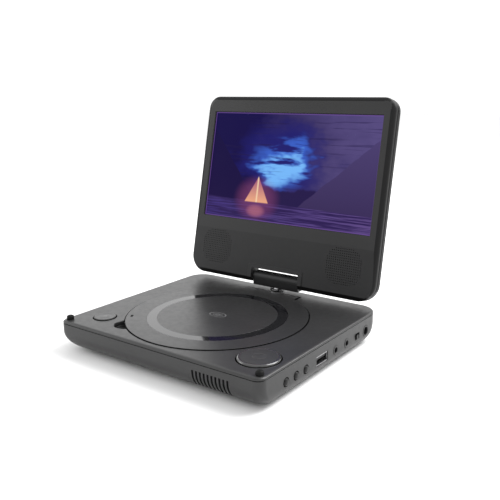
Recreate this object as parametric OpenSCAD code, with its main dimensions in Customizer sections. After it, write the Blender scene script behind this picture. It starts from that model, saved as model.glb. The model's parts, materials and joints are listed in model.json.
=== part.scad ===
// Portable disc player: a flat base with a round disc lid, controls and sockets, and a
// screen on a hinge post that both tilts and swivels. Millimetres, +Z up, feet on z = 0.
// Modules work in the base's own frame, centred on its footprint, and in_row() moves
// them so that the origin lies under the middle of the whole open player.

/* [Base] */
// Width of the base and of the screen
body_w = 172; // [168:0.5:180]
// Front-to-back depth of the base
base_d = 149.5; // [146:0.5:154]
// Height of the base without its feet
base_h = 20.5; // [20:0.5:24]
// Height of the rubber feet
foot_h = 1.5; // [1:0.25:2.5]
// Radius of the base's two front corners seen from above
front_corner_r = 6; // [5.5:0.5:9]
// Radius of the base's two back corners seen from above
back_corner_r = 14; // [11:0.5:15]
// Radius of the rounded lower edge at the front, back and left
belly_r = 13; // [10:0.5:14]
// Radius of the lower edge on the socket side
socket_edge_r = 7; // [4:0.5:8]
// Thickness of the case walls
wall = 2; // [1.6:0.1:2.2]

/* [Disc drive] */
// Disc centre, sideways from the middle of the base
disc_x = -1; // [-3:0.5:1]
// Disc centre, behind the middle of the base
disc_y = -5; // [-6:0.5:-3]
// Radius of the round disc lid
disc_lid_r = 64.5; // [64:0.1:65]
// Height of the disc lid's face above the cover
lid_up = 0.5; // [0.3:0.05:0.6]
// Radius of the hub that grips the disc's 15 mm hole
hub_r = 7.4; // [7.3:0.05:7.45]
// Distance that the laser sled travels
sled_travel = 30; // [26:1:30]
// Lead of the sled's screw
screw_lead = 2; // [1.5:0.1:3]

/* [Controls] */
// Radius of the round lid-release button
open_r = 7.9; // [7:0.1:8.4]
// Travel of the lid-release button
open_travel = 1.2; // [0.8:0.1:1.2]
// Radius of the round navigation pad
nav_r = 13.9; // [12:0.1:14]
// Radius of the small side buttons
side_r = 2.6; // [2:0.1:2.8]

/* [Screen] */
// Height of the screen housing
screen_h = 149; // [146:0.5:150]
// Thickness of the screen housing
screen_t = 11.9; // [11.5:0.1:12.2]
// Radius of the screen's two lower corners
screen_low_r = 14; // [10:0.5:14.5]
// Radius of the screen's two upper corners
screen_top_r = 10; // [8:0.5:12]
// Width of the display picture, seven inches across its diagonal
view_w = 155; // [150:0.5:156]
// Height of the display picture
view_h = 87.2; // [84:0.1:88]
// Lean of the screen behind the vertical
lean = 12.2; // [5:0.1:20]
// Hinge axis above the top of the base
hinge_up = 9.3; // [9.2:0.05:9.6]
// Hinge axis ahead of the back of the base
hinge_in = 6.4; // [6.4:0.1:7]

/* [Hidden] */
$fn = 48;
eps = 0.05;
top_z = foot_h + base_h;
cover_t = 2;
seam_z = top_z - cover_t;
floor_z = foot_h + wall;
inner_w = body_w - 2 * wall;
inner_d = base_d - 2 * wall;
edge_x = body_w / 2;

// disc well
opening_r = disc_lid_r + 0.5;
ledge_r = 61.8;
lid_z = top_z + lid_up;
ledge_top = top_z - 2.2;
ledge_t = 2;
well_wall = 1.5;
well_floor_z = foot_h + 10.5;
well_floor_t = 1.5;
tab_x = 0.5;
tab_half = 24.5;
tab_back = 61.2;
pin_y = 60;
pin_z = top_z - 2.4;
pin_r = 1;
knuckle_r = 2.2;
knuckle_l = 6;

ring_r_out = 49.6;
ring_r_in = 42.4;

// drive, with its own x running left from the disc centre
deck_z = 8.2;
deck_t = 1.8;
deck_low_x = -20;
deck_high_x = 70;
deck_low_y = -26.5;
deck_high_y = 31.5;
rail_y = 13;
rail_z = 9.5;
rail_r = 1.5;
lens_x = 24.5;
screw_y = 21;
screw_r = 1.3;
bearing_r = screw_r + 0.06;
turntable_z = 15;
DAMPERS = [[-15, -20], [-15, 22], [58, -22.3], [58, 28]];

// controls
open_x = -64.4;
open_y = -52.6;
open_len = norm([open_x - disc_x, open_y - disc_y]);
open_dir = [(open_x - disc_x) / open_len, (open_y - disc_y) / open_len];
open_angle = atan2(open_dir[1], open_dir[0]);
button_gap = 0.35;
notch_angle = 231;
notch_r = 8.6;
notch_out = 63.2;
nav_x = 67.5;
nav_y = -50.5;
nav_pivot_z = 17.6;
nav_board_z = 15.2;
nav_board_t = 1;
NAV_LEGS = [30, 120, 190, 250];
socket_z = top_z - 10.9;
BUTTON_Y = [-49, -38, -27];
usb_y = -7.6;
headphone_y = 9.8;
av_y = 24.6;
slider_y = 40;
dc_y = 52.5;
jack_r = 1.85;
board_z = 6.4;
board_t = 1.6;
board_top = board_z + board_t;

// bumpers and case fixings
bumper_x = 81.4;
bumper_y = -69;
bumper_up = 3;
POSTS = [[-76, -64], [76, -64], [-76, 64], [76, 64]];
FEET = [[-62, -52], [66, -52], [-62, 54], [66, 54]];
VENTS = 10;
vent_first_x = 36;
vent_pitch = 2.95;

// hinge and screen, whose own frame has its origin on the hinge axis, z up the screen
hinge_y = base_d / 2 - hinge_in;
hinge_z = top_z + hinge_up;
face_y = -screen_t / 2 + 0.1;
back_y = face_y + screen_t;
below_axis = 5;
screen_top = screen_h - below_axis;
screen_mid = screen_h / 2 - below_axis;
bezel_depth = 5;
bezel_t = 1.8;
shell_t = 1.8;
seam_y = face_y + bezel_depth;
view_z = 87;
notch_half = 22;
notch_top = 6;
cheek_t = 1.8;
barrel_r = 3.6;
housing_half = 21.2;
shaft_r = 1.8;
shaft_in = 12;
shaft_out = 31;
post_r = 2.6;
post_bore_r = 1.3;
bush_r = 3.6;
seam_step = 0.9;
speaker_x = 59.5;
speaker_z = 18;
speaker_r = 15;
SCREEN_POSTS = [[-76, 138], [76, 138], [-76.5, 2.2], [76.5, 2.2]];
lcd_w = 164;
lcd_low = 38;
lcd_high = 135.6;

// the open player reaches from the front of the base to the screen's leaning top edge
reach_back = hinge_y + (screen_top - 2.4) * sin(lean) + back_y * cos(lean);
row_y = -(reach_back - base_d / 2) / 2;

// ---- frames ----
module in_row() translate([0, row_y, 0]) children();
module at_disc() translate([disc_x, disc_y, 0]) mirror([1, 0, 0]) children();
module at_open() translate([disc_x, disc_y, 0]) rotate([0, 0, open_angle]) children();
module at_nav() translate([nav_x, nav_y, 0]) children();
module at_post() translate([0, hinge_y, 0]) children();
module at_screen() translate([0, hinge_y, hinge_z]) rotate([-lean, 0, 0]) children();
module along_x() rotate([0, 90, 0]) children();
module along_y() rotate([-90, 0, 0]) children();

// ---- shared shapes ----
// rectangle with one radius for its front corners and one for its back corners
module rounded_rect(w, d, r_front, r_back) {
    translate([-w / 2, r_front - d / 2]) square([w, d - r_front - r_back]);
    for (s = [-1, 1]) {
        r = s < 0 ? r_front : r_back;
        translate([0, s * (d - r) / 2]) square([w - 2 * r, r], center = true);
        for (sx = [-1, 1]) translate([sx * (w / 2 - r), s * (d / 2 - r)]) circle(r);
    }
}

// upright outline whose lower corners are rounded by two radii
module belly_outline(w, low, high, r_left, r_right) {
    translate([-w / 2, low + r_left]) square([w, high - low - r_left]);
    translate([-w / 2 + r_left, low + r_left]) circle(r_left);
    translate([w / 2 - r_right, low + r_right]) circle(r_right);
    translate([-w / 2 + r_left, low]) square([w - r_left - r_right, r_left + 1]);
    translate([w / 2 - r_right - 1, low + r_right]) square([r_right + 1, r_left]);
}

module tub(w, d, draw_in, low, high, r_belly, r_socket) {
    intersection() {
        translate([0, 0, low]) linear_extrude(high - low)
            rounded_rect(w, d, front_corner_r - draw_in, back_corner_r - draw_in);
        rotate([90, 0, 0]) linear_extrude(2 * d, center = true)
            belly_outline(w, low, high, r_belly, r_socket);
        rotate([90, 0, 90]) linear_extrude(2 * w, center = true)
            belly_outline(d, low, high, r_belly, r_belly);
    }
}

// slab of the screen from its thickness position y0 to y1, drawn in by `inset` all round
module screen_slab(inset, y0, y1)
    translate([0, y1, screen_mid]) rotate([90, 0, 0]) linear_extrude(y1 - y0)
        rounded_rect(body_w - 2 * inset, screen_h - 2 * inset,
            screen_low_r - inset, screen_top_r - inset);

// the same slab whose outline shrinks by c between y0 and y1
module screen_taper(inset, y0, y1, c)
    translate([0, y0, screen_mid]) rotate([(y1 > y0 ? -90 : 90), 0, 0])
        chamfered_slab(body_w - 2 * inset, screen_h - 2 * inset,
            y1 > y0 ? screen_top_r - inset : screen_low_r - inset,
            y1 > y0 ? screen_low_r - inset : screen_top_r - inset, 0, abs(y1 - y0), c);

// slab whose upper edge is cut back by c all round
module chamfered_slab(w, d, r_front, r_back, low, high, c) {
    translate([0, (r_front - r_back) / 2, 0]) rotate([90, 0, 0])
        linear_extrude(d - r_front - r_back, center = true) chamfered_outline(w / 2, low, high, c);
    for (s = [-1, 1]) {
        r = s < 0 ? r_front : r_back;
        rotate([90, 0, s * 90]) linear_extrude(w - 2 * r, center = true) intersection() {
            chamfered_outline(d / 2, low, high, c);
            translate([d / 2 - r - 1, low]) square([r + 1, high - low]);
        }
        for (sx = [-1, 1]) translate([sx * (w / 2 - r), s * (d / 2 - r), low])
            cylinder(r1 = r, r2 = r - c, h = high - low);
    }
}

module chamfered_outline(half, low, high, c)
    polygon([[-half, low], [half, low], [half - c, high], [c - half, high]]);

module box(low, high) translate(low) cube(high - low);
module rod(r, low, high) translate([0, 0, low]) cylinder(r = r, h = high - low);
module tube(r_out, r_in, low, high) {
    difference() {
        rod(r_out, low, high);
        rod(r_in, low - 1, high + 1);
    }
}

module screw(shaft, head, tip_z, under_head_z, head_h) {
    difference() {
        union() {
            rod(shaft, tip_z, under_head_z + eps);
            rod(head, under_head_z, under_head_z + head_h);
        }
        translate([0, 0, under_head_z + head_h]) {
            cube([head * 1.2, head * 0.3, head_h], center = true);
            cube([head * 0.3, head * 1.2, head_h], center = true);
        }
    }
}

module coil(r, wire, low, high, turns) {
    for (i = [0 : turns - 1])
        translate([0, 0, low + wire + i * (high - low - 2 * wire) / (turns - 1)])
            rotate_extrude() translate([r - wire, 0]) circle(wire, $fn = 16);
    for (s = [-1, 1])
        rotate([0, 0, s * 90]) translate([r - wire, 0, 0]) rod(wire * 0.8, low + wire, high - wire);
}

// ---- base shells ----
module bottom_case() color([0.2, 0.2, 0.21]) {
    difference() {
        union() {
            difference() {
                tub(body_w, base_d, 0, foot_h, seam_z, belly_r, socket_edge_r);
                tub(inner_w, inner_d, wall, floor_z, seam_z + 1,
                    belly_r - wall, socket_edge_r - wall);
            }
            intersection() {
                tub(body_w, base_d, 0, foot_h, seam_z, belly_r, socket_edge_r);
                case_posts();
            }
        }
        for (p = POSTS) translate([p[0], p[1], 0]) {
            rod(2.9, 0, foot_h + 5.5);
            rod(1.6, 0, seam_z);
        }
        for (p = FEET) translate([p[0], p[1], 0]) rod(5.1, 0, foot_h + 0.6);
        at_disc() for (p = DAMPERS) translate([p[0], p[1], 0]) rod(1.15, floor_z + 0.4, seam_z);
        for (i = [0 : VENTS - 1]) translate([vent_first_x + i * vent_pitch, 0, 0])
            box([-0.75, -base_d / 2 - 1, top_z - 16.5], [0.75, -base_d / 2 + 8, top_z - 6.5]);
        socket_holes();
    }
}

module case_posts() {
    for (p = POSTS) translate([p[0], p[1], 0]) rod(4.2, foot_h, seam_z - 2.4);
    at_disc() for (p = DAMPERS) translate([p[0], p[1], 0]) rod(3.4, floor_z - eps, 7.2);
    at_open() translate([open_len, 5.4, 0]) rod(2.8, floor_z - eps, 13);
    for (y = [-55, 20, 56]) translate([48, y, 0]) rod(2.6, floor_z - eps, board_z);
}

module socket_holes() {
    translate([edge_x - 4, 0, 0]) {
        for (y = BUTTON_Y) translate([0, y, socket_z]) along_x() rod(side_r + 0.3, 0, 8);
        box([0, usb_y - 6.9, socket_z - 3.2], [8, usb_y + 6.9, socket_z + 3.2]);
        for (y = [headphone_y, av_y]) translate([0, y, socket_z]) along_x() rod(3.1, 0, 8);
        box([0, slider_y - 2.9, socket_z - 2.2], [8, slider_y + 2.9, socket_z + 2.2]);
        translate([0, dc_y, socket_z]) along_x() rod(4.1, 0, 8);
    }
}

module top_cover() color([0.24, 0.24, 0.25]) {
    difference() {
        union() {
            translate([0, 0, seam_z]) linear_extrude(0.7)
                rounded_rect(body_w, base_d, front_corner_r, back_corner_r);
            chamfered_slab(body_w, base_d, front_corner_r, back_corner_r, seam_z + 0.7, top_z, 1.3);
            translate([disc_x, disc_y, 0]) {
                rod(ledge_r + 5.2, ledge_top - ledge_t, seam_z + eps);
                rod(ledge_r + well_wall, well_floor_z, seam_z);
            }
            notch_cup(notch_r + 1.6, top_z - 7, seam_z + eps);
            for (p = POSTS) translate([p[0], p[1], 0]) rod(3.2, seam_z - 2.4, seam_z + eps);
            at_open() translate([open_len, 0, 0]) rod(open_r + 2, seam_z - 1.2, seam_z + eps);
            at_open() box([69, -4.8, 13.4], [73.6, 4.8, seam_z + eps]);
            at_nav() rod(nav_r + 2.2, seam_z - 1.4, seam_z + eps);
            at_nav() for (a = NAV_LEGS) rotate([0, 0, a])
                translate([nav_r + 1.4, 0, 0]) rod(1.4, nav_board_z + nav_board_t, seam_z + eps);
            swivel_boss();
            hinge_cheeks();
        }
        disc_space();
        notch_cup(notch_r, top_z - 5.4, top_z + 1);
        for (p = POSTS) translate([p[0], p[1], 0]) rod(1.15, seam_z - 3, seam_z + 0.6);
        at_open() translate([open_len, 0, 0]) rod(open_r + button_gap, seam_z - 2.6, top_z + 1);
        at_open() box([60, -4.3, 14], [68, 4.3, ledge_top + eps]);
        at_open() box([60, -3.2, 14.5], [76, 3.2, 17.8]);
        at_nav() rod(nav_r + button_gap, 15, top_z + 1);
        for (s = [-1, 1]) translate([s * bumper_x, bumper_y, 0]) rod(1.3, seam_z - 1, top_z + 1);
        at_post() rod(bush_r, seam_z - 6, top_z + 1);
        lid_pins();
    }
}

// boss that holds the swivel's bush, cut flat to stand clear of the back wall
module swivel_boss() intersection() {
    at_post() rod(bush_r + 2.4, seam_z - 5, seam_z + eps);
    box([-20, 50, 0], [20, base_d / 2 - wall - 0.1, 50]);
}

module lid_pins()
    for (s = [-1, 1]) translate([tab_x + s * (tab_half - 1.2), pin_y, pin_z])
        along_x() rod(pin_r, -4.2, 4.2);

// everything that the disc, the drive and the lid need open in the cover
module disc_space() {
    translate([disc_x, disc_y, 0]) {
        rod(opening_r, ledge_top, top_z + 1);
        rod(ledge_r, well_floor_z + well_floor_t, top_z + 1);
        rod(16, well_floor_z - 1, top_z);
    }
    at_disc() box([0, -17, well_floor_z - 1], [58.5, 17, top_z]);
    box([tab_x - tab_half - 0.6, 50, top_z - 5.2], [tab_x + tab_half + 0.6, 63.4, top_z + 1]);
}

// finger notch on the rim of the disc lid
module notch_cup(r, low, high)
    translate([disc_x, disc_y, 0]) rotate([0, 0, notch_angle])
        translate([notch_out, 0, 0]) rod(r, low, high);

// solid blocks beside the lid's tab that carry its two pins
module hinge_cheeks() {
    for (s = [-1, 1]) translate([tab_x + s * (tab_half + 3.1), 0, 0])
        box([-2.5, 55.5, top_z - 5.6], [2.5, 63.6, seam_z + eps]);
    box([tab_x - tab_half - 5, 55.5, top_z - 6.8], [tab_x + tab_half + 5, 65, top_z - 5.2]);
    box([tab_x - tab_half - 5, 63.4, top_z - 6.8], [tab_x + tab_half + 5, 65, seam_z + eps]);
}

module rubber_feet() color([0.08, 0.08, 0.08])
    for (p = FEET) translate([p[0], p[1], 0]) rod(5, 0, foot_h + 0.6);

module case_screws() color([0.55, 0.55, 0.57])
    for (p = POSTS) translate([p[0], p[1], foot_h + 5.5]) mirror([0, 0, 1])
        screw(1.1, 2.6, -12.8, 0, 1.6);

module lid_bumpers() color([0.07, 0.07, 0.07])
    for (s = [-1, 1]) translate([s * bumper_x, bumper_y, 0]) {
        rod(1.3, seam_z - 1, top_z);
        translate([0, 0, top_z]) cylinder(r1 = 2.6, r2 = 2.3, h = bumper_up - 1.2);
        translate([0, 0, top_z + bumper_up - 1.2]) cylinder(r1 = 2.3, r2 = 1.2, h = 1.2);
    }

// ---- disc drive ----
module drive_deck() color([0.13, 0.13, 0.14]) at_disc() {
    difference() {
        union() {
            box([deck_low_x, deck_low_y, deck_z], [deck_high_x, deck_high_y, deck_z + deck_t]);
            box([8, -16, 7.2], [13, 16, 11.6]);
            box([65, -16, 7.2], [deck_high_x, 16, 11.6]);
            box([8, screw_y - 3, 7.2], [13, screw_y + 3, 11.6]);
            box([65, screw_y - 3, 7.2], [deck_high_x, screw_y + 3, 11.6]);
        }
        box([13, -18.5, 0], [65, 24.5, 20]);
        rod(4, 0, 20);
        for (s = [-1, 1]) translate([0, s * rail_y, rail_z]) along_x() rod(rail_r, 9.5, 68.5);
        translate([0, screw_y, rail_z]) along_x() rod(bearing_r, 7, 71);
        for (p = DAMPERS) translate([p[0], p[1], 0]) rod(2.55, 0, 20);
    }
}

module deck_dampers() color([0.1, 0.1, 0.1]) at_disc()
    for (p = DAMPERS) translate([p[0], p[1], 0]) difference() {
        union() {
            rod(3.8, 7.2, deck_z);
            rod(2.5, 7.2, 11);
            rod(3.8, deck_z + deck_t, 11);
        }
        rod(1.3, 0, 20);
    }

module deck_screws() color([0.6, 0.6, 0.62]) at_disc()
    for (p = DAMPERS) translate([p[0], p[1], 0]) screw(1.1, 2.6, floor_z + 0.6, 11, 0.9);

module spindle_motor() color([0.6, 0.61, 0.63]) at_disc() difference() {
    union() {
        rod(11, floor_z + 0.4, 7.2);
        rod(3.2, 7, 10.2);
        for (a = [90 : 90 : 270]) rotate([0, 0, a]) box([8, -2.4, 6.4], [13.5, 2.4, deck_z]);
    }
    rod(1.05, floor_z + 1.2, 20);
}

module spindle_shaft() color([0.75, 0.75, 0.77]) at_disc() rod(1, floor_z + 1.4, 16.5);

module spindle_hub() color([0.16, 0.16, 0.17]) at_disc() difference() {
    union() {
        rod(4.5, 10.6, 13);
        rod(14, 12.8, turntable_z);
        rod(hub_r, turntable_z, 17);
        translate([0, 0, 17]) cylinder(r1 = hub_r, r2 = 6.4, h = 0.8);
    }
    rod(1, 0, 16.5);
    for (a = [0 : 120 : 240]) rotate([0, 0, a]) translate([0, 0, 16]) along_x() rod(0.95, 4.6, 9);
}

module hub_balls() color([0.8, 0.8, 0.82]) at_disc()
    for (a = [0 : 120 : 240]) rotate([0, 0, a]) translate([hub_r - 1, 0, 16]) sphere(0.9);

module sled_rails() color([0.75, 0.75, 0.77]) at_disc()
    for (s = [-1, 1]) translate([0, s * rail_y, rail_z]) along_x() rod(rail_r, 9.5, 68.5);

module sled_motor() color([0.6, 0.61, 0.63]) at_disc() translate([0, screw_y, rail_z])
    along_x() difference() {
        rod(3.9, deck_high_x, 77);
        rod(bearing_r, 60, 74);
    }

module lead_screw() color([0.7, 0.7, 0.72]) at_disc() translate([0, screw_y, rail_z])
    along_x() rod(screw_r, 9, 73.5);

module laser_sled() color([0.12, 0.12, 0.13]) at_disc() difference() {
    union() {
        box([lens_x - 8, -16.5, 7.6], [lens_x + 8, 16.5, 11.2]);
        box([lens_x - 5, 16, 7.8], [lens_x + 5, 23.9, 11.2]);
    }
    for (s = [-1, 1]) translate([0, s * rail_y, rail_z]) along_x() rod(rail_r + 0.06, 0, 60);
    translate([0, screw_y, rail_z]) along_x() rod(bearing_r, 0, 60);
    translate([lens_x, 0, 0]) rod(3.4, 9.6, 12);
}

module laser_lens() color([0.25, 0.35, 0.6]) at_disc() translate([lens_x, 0, 0]) {
    rod(3, 9.6, 13.2);
    translate([0, 0, 13.2]) cylinder(r1 = 2, r2 = 1.2, h = 0.5);
}

// ---- electronics ----
module main_board() color([0.1, 0.32, 0.2]) difference() {
    box([24, -64, board_z], [80, 58.5, board_top]);
    translate([76, -64, 0]) rod(5, 0, 20);
    translate([76, 64, 0]) rod(6.4, 0, 20);
}

module main_chips() color([0.1, 0.1, 0.1]) {
    box([38, -30, board_top], [52, -16, board_top + 1.4]);
    box([36, 2, board_top], [48, 14, board_top + 1.4]);
    box([54, 30, board_top], [62, 36, board_top + 1.6]);
    for (y = [-40, -34]) translate([66, y, 0]) rod(2.6, board_top, board_top + 5);
}

module usb_shell() color([0.75, 0.75, 0.76]) translate([edge_x, usb_y, socket_z]) difference() {
    box([-14, -6.7, -2.9], [-0.5, 6.7, 2.9]);
    box([-12.8, -6.3, -2.5], [1, 6.3, 2.5]);
}

module usb_tongue() color([0.08, 0.08, 0.08]) translate([edge_x, usb_y, socket_z])
    box([-12.8, -5.4, 0.3], [-1.4, 5.4, 2.2]);

module jack(y) translate([edge_x, y, 0]) difference() {
    union() {
        box([-14, -3.6, board_top], [-2.1, 3.6, socket_z + 3]);
        translate([0, 0, socket_z]) along_x() rod(3, -3, 0.3);
    }
    translate([0, 0, socket_z]) along_x() rod(jack_r, -12.5, 1);
}
module headphone_jack() color([0.09, 0.09, 0.09]) jack(headphone_y);
module av_jack() color([0.09, 0.09, 0.09]) jack(av_y);

module power_switch_body() color([0.12, 0.12, 0.12]) translate([edge_x, slider_y, 0]) difference() {
    box([-10, -6, board_top], [-3, 6, socket_z + 2.8]);
    box([-6, -4.6, socket_z - 1.7], [0, 4.6, socket_z + 1.7]);
}

module power_slider() color([0.08, 0.08, 0.08]) translate([edge_x, slider_y, socket_z]) {
    box([-5.6, -4, -1.2], [-3.1, 1, 1.2]);
    box([-3.2, -2.5, -1.5], [0.9, 0, 1.5]);
}

module dc_jack() color([0.08, 0.08, 0.08]) translate([edge_x, dc_y, 0]) difference() {
    union() {
        box([-14, -4.5, board_top], [-2.1, 4.5, socket_z + 4]);
        translate([0, 0, socket_z]) along_x() rod(4, -3, 0.2);
    }
    translate([0, 0, socket_z]) along_x() rod(2.9, -11, 1);
}

module dc_pin() color([0.8, 0.8, 0.8]) translate([edge_x, dc_y, socket_z])
    along_x() rod(0.95, -11, -2.4);

module side_switches() color([0.6, 0.6, 0.6]) for (y = BUTTON_Y) translate([edge_x, y, 0])
    box([-11.5, -3, board_top], [-8.9, 3, socket_z + 2.4]);

module key_board() color([0.1, 0.32, 0.2]) difference() {
    union() {
        at_nav() rod(15.5, nav_board_z, nav_board_z + nav_board_t);
        at_nav() for (s = [-1, 1]) translate([0, s * 4.2, 0])
            box([-1.6, -0.6, nav_board_z + nav_board_t - eps], [1.6, 0.6, nav_pivot_z + 0.9]);
    }
    translate([POSTS[1][0], POSTS[1][1], 0]) rod(4.8, 0, 30);
    at_nav() translate([0, 0, nav_pivot_z]) along_y() rod(0.86, -6, 6);
}

module nav_switches() color([0.6, 0.6, 0.6]) at_nav()
    for (a = [0 : 90 : 270]) rotate([0, 0, a]) translate([8, 0, nav_board_z + nav_board_t]) {
        box([-2, -2, 0], [2, 2, 1.4]);
        rod(1, 1.4, 2.1);
    }

module battery_pack() color([0.25, 0.35, 0.5])
    box([-68, 28.5, floor_z + 0.6], [14, 58, 11]);

// ---- disc lid ----
module disc_lid() color([0.3, 0.3, 0.31]) difference() {
    union() {
        translate([disc_x, disc_y, 0]) rod(disc_lid_r, top_z - 1.9, lid_z);
        box([tab_x - tab_half, 45, top_z - 1.9], [tab_x + tab_half, tab_back, lid_z]);
        for (s = [-1, 1]) translate([tab_x + s * (tab_half - knuckle_l / 2), 0, 0]) {
            translate([0, pin_y, pin_z]) along_x() rod(knuckle_r, -knuckle_l / 2, knuckle_l / 2);
            box([-knuckle_l / 2, 56, pin_z - 0.6], [knuckle_l / 2, pin_y, top_z - 1]);
        }
        at_open() box([61.9, -3, top_z - 6.6], [63.3, 3, top_z - 1.8]);
    }
    translate([disc_x, disc_y, 0]) tube(ring_r_out + 0.1, ring_r_in - 0.1, lid_z - 0.6, lid_z + 1);
    for (s = [-1, 1]) translate([tab_x + s * (tab_half - 3), pin_y, pin_z])
        along_x() rod(pin_r + 0.06, -6, 6);
    at_open() translate([60.4, 0, 0]) box([-0.7, -1.6, lid_z - 0.4], [0.7, 1.6, lid_z + 1]);
}
module disc_lid_ring() color([0.08, 0.08, 0.09]) translate([disc_x, disc_y, 0])
    tube(ring_r_out, ring_r_in, lid_z - 0.6, lid_z + 0.05);

module disc_lid_pins() color([0.75, 0.75, 0.77]) lid_pins();

// ---- controls ----
module open_button() color([0.27, 0.27, 0.28]) at_open() {
    translate([open_len, 0, 0]) {
        rod(open_r, 19, top_z + 0.3);
        translate([0, 0, top_z + 0.3]) cylinder(r1 = open_r, r2 = open_r - 0.5, h = 0.4);
    }
    rotate([90, 0, 0]) linear_extrude(3, center = true) polygon([
        [76.5, 19.2], [81, 19.2], [81, 18.5], [77.5, 15], [76.5, 15]]);
}

module lid_latch() color([0.14, 0.14, 0.14]) at_open() difference() {
    box([63.7, -2.9, 14.8], [84, 2.9, 17.4]);
    rotate([90, 0, 0]) linear_extrude(3.6, center = true) polygon([
        [75, 14], [76.7, 14], [80.9, 18.2], [75, 18.2]]);
}

module open_button_spring() color([0.7, 0.7, 0.72]) at_open() translate([open_len, 5.4, 0])
    coil(2.1, 0.35, 13, 19, 5);

// cross of two pins: one rocks in the key board, the pad rocks on the other
module nav_rocker() color([0.15, 0.15, 0.15]) at_nav() translate([0, 0, nav_pivot_z]) {
    along_x() rod(0.8, -4.9, 4.9);
    along_y() rod(0.8, -4.9, 4.9);
}

module nav_pad() color([0.27, 0.27, 0.28]) at_nav() {
    rod(nav_r - 0.4, nav_pivot_z + 1.3, top_z - 0.2);
    difference() {
        for (s = [-1, 1]) translate([s * 4.2, 0, 0])
            box([-0.6, -1.6, nav_pivot_z - 0.9], [0.6, 1.6, nav_pivot_z + 1.4]);
        translate([0, 0, nav_pivot_z]) along_x() rod(0.86, -6, 6);
    }
    translate([0, 0, top_z - 0.2]) cylinder(r1 = nav_r - 0.4, r2 = nav_r - 1.6, h = 1.2);
    translate([0, 0, top_z + 1]) cylinder(r1 = nav_r - 1.6, r2 = nav_r - 5, h = 0.5);
}

module side_button(i) color([0.12, 0.12, 0.12]) translate([edge_x, BUTTON_Y[i], socket_z])
    along_x() {
        rod(side_r, -8, 0.9);
        rod(side_r + 0.9, -3.6, -2.3);
    }
module side_button_1() side_button(0);
module side_button_2() side_button(1);
module side_button_3() side_button(2);

// ---- hinge ----
module swivel_bush() color([0.1, 0.1, 0.1]) at_post() tube(bush_r, post_r + 0.05, seam_z - 5.6, top_z + 0.4);

module swivel_post() color([0.72, 0.72, 0.74]) at_post() difference() {
    union() {
        rod(post_r, 11.6, hinge_z - 2.4);
        rod(5.6, top_z + 0.7, top_z + 1.8);
    }
    rod(post_bore_r, 0, hinge_z);
    tube(6, 2, 12.6, 13.6);
}

module swivel_clip() color([0.75, 0.75, 0.77]) at_post() difference() {
    rod(4, 12.65, 13.55);
    rod(2.05, 0, 20);
    box([0, -1.4, 0], [8, 1.4, 20]);
}

module hinge_housing() color([0.17, 0.17, 0.18]) translate([0, hinge_y, hinge_z]) difference() {
    union() {
        along_x() rod(barrel_r, -housing_half, housing_half);
        box([-housing_half, -barrel_r, -7], [housing_half, barrel_r, 0]);
    }
    for (s = [-1, 1]) scale([s, 1, 1]) along_x() rod(shaft_r, shaft_in, 30);
    rod(post_r, -10, -2.4);
    rod(post_bore_r, -5, 0);
    along_x() rod(1.2, -13, 13);
}

module hinge_shafts() color([0.72, 0.72, 0.74]) translate([0, hinge_y, hinge_z])
    for (s = [-1, 1]) scale([s, 1, 1]) along_x() rod(shaft_r, shaft_in, shaft_out);

module hinge_brackets() color([0.66, 0.66, 0.68]) at_screen() for (s = [-1, 1]) scale([s, 1, 1])
    difference() {
        union() {
            intersection() {
                along_x() rod(3, 25, 30);
                box([20, -4, -2.2], [40, 4, 4]);
            }
            box([25, 1.9, 0], [39, 3.1, 22]);
        }
        along_x() rod(shaft_r + 0.05, 20, 36);
    }

// ---- screen ----
module notch_cut(half, top) box([-half, -20, -below_axis - 1], [half, 20, top]);

module screen_bezel() color([0.22, 0.22, 0.23]) at_screen() {
    difference() {
        union() {
            screen_taper(0, face_y + 0.8, face_y, 0.8);
            difference() {
                screen_slab(0, face_y + 0.8, seam_y);
                screen_slab(shell_t, face_y + bezel_t, seam_y + 1);
            }
            intersection() {
                for (p = SCREEN_POSTS) translate([p[0], 0, p[1]]) along_y() rod(2.8, face_y + 1, 2.9);
                screen_slab(seam_step + shell_t + 0.1, face_y, 3);
            }
        }
        box([-view_w / 2, -20, view_z - view_h / 2], [view_w / 2, 20, view_z + view_h / 2]);
        notch_cut(notch_half, notch_top);
        for (p = SCREEN_POSTS) translate([p[0], 0, p[1]]) along_y() rod(1.15, -3, 4);
    }
}

module screen_back_cover() color([0.2, 0.2, 0.21]) at_screen() {
    difference() {
        union() {
            difference() {
                union() {
                    screen_slab(seam_step, seam_y, seam_y + 0.9);
                    screen_slab(0, seam_y + 0.9, back_y - 2.4);
                    screen_taper(0, back_y - 2.4, back_y - 0.8, 0.8);
                    screen_taper(0.8, back_y - 0.8, back_y, 1.6);
                }
                screen_slab(seam_step + shell_t, seam_y - 1, back_y - shell_t);
            }
            for (p = SCREEN_POSTS) translate([p[0], 0, p[1]]) along_y() rod(3.6, 2.9, back_y - 1);
            for (s = [-1, 1], z = [7, 17]) translate([s * 33, 0, z]) along_y()
                rod(2.4, 3.1, back_y - 1);
            box([-notch_half - cheek_t, face_y + bezel_t + eps, -3.1],
                [notch_half + cheek_t, back_y - 1, notch_top + cheek_t]);
        }
        notch_cut(notch_half, notch_top);
        along_x() rod(shaft_r + 0.1, -30, 30);
        for (p = SCREEN_POSTS) translate([p[0], 0, p[1]]) along_y() {
            rod(1.3, 2, 10);
            rod(2.5, back_y - 1.6, 10);
        }
    }
}

module screen_screws() color([0.2, 0.2, 0.2]) at_screen()
    for (p = SCREEN_POSTS) translate([p[0], 0, p[1]]) along_y() screw(1.1, 2.3, -2.6, back_y - 1.6, 1.4);

module lcd_panel() color([0.05, 0.05, 0.09]) at_screen()
    box([-lcd_w / 2, face_y + bezel_t + eps, lcd_low], [lcd_w / 2, face_y + bezel_t + 1.4, lcd_high]);

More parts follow.
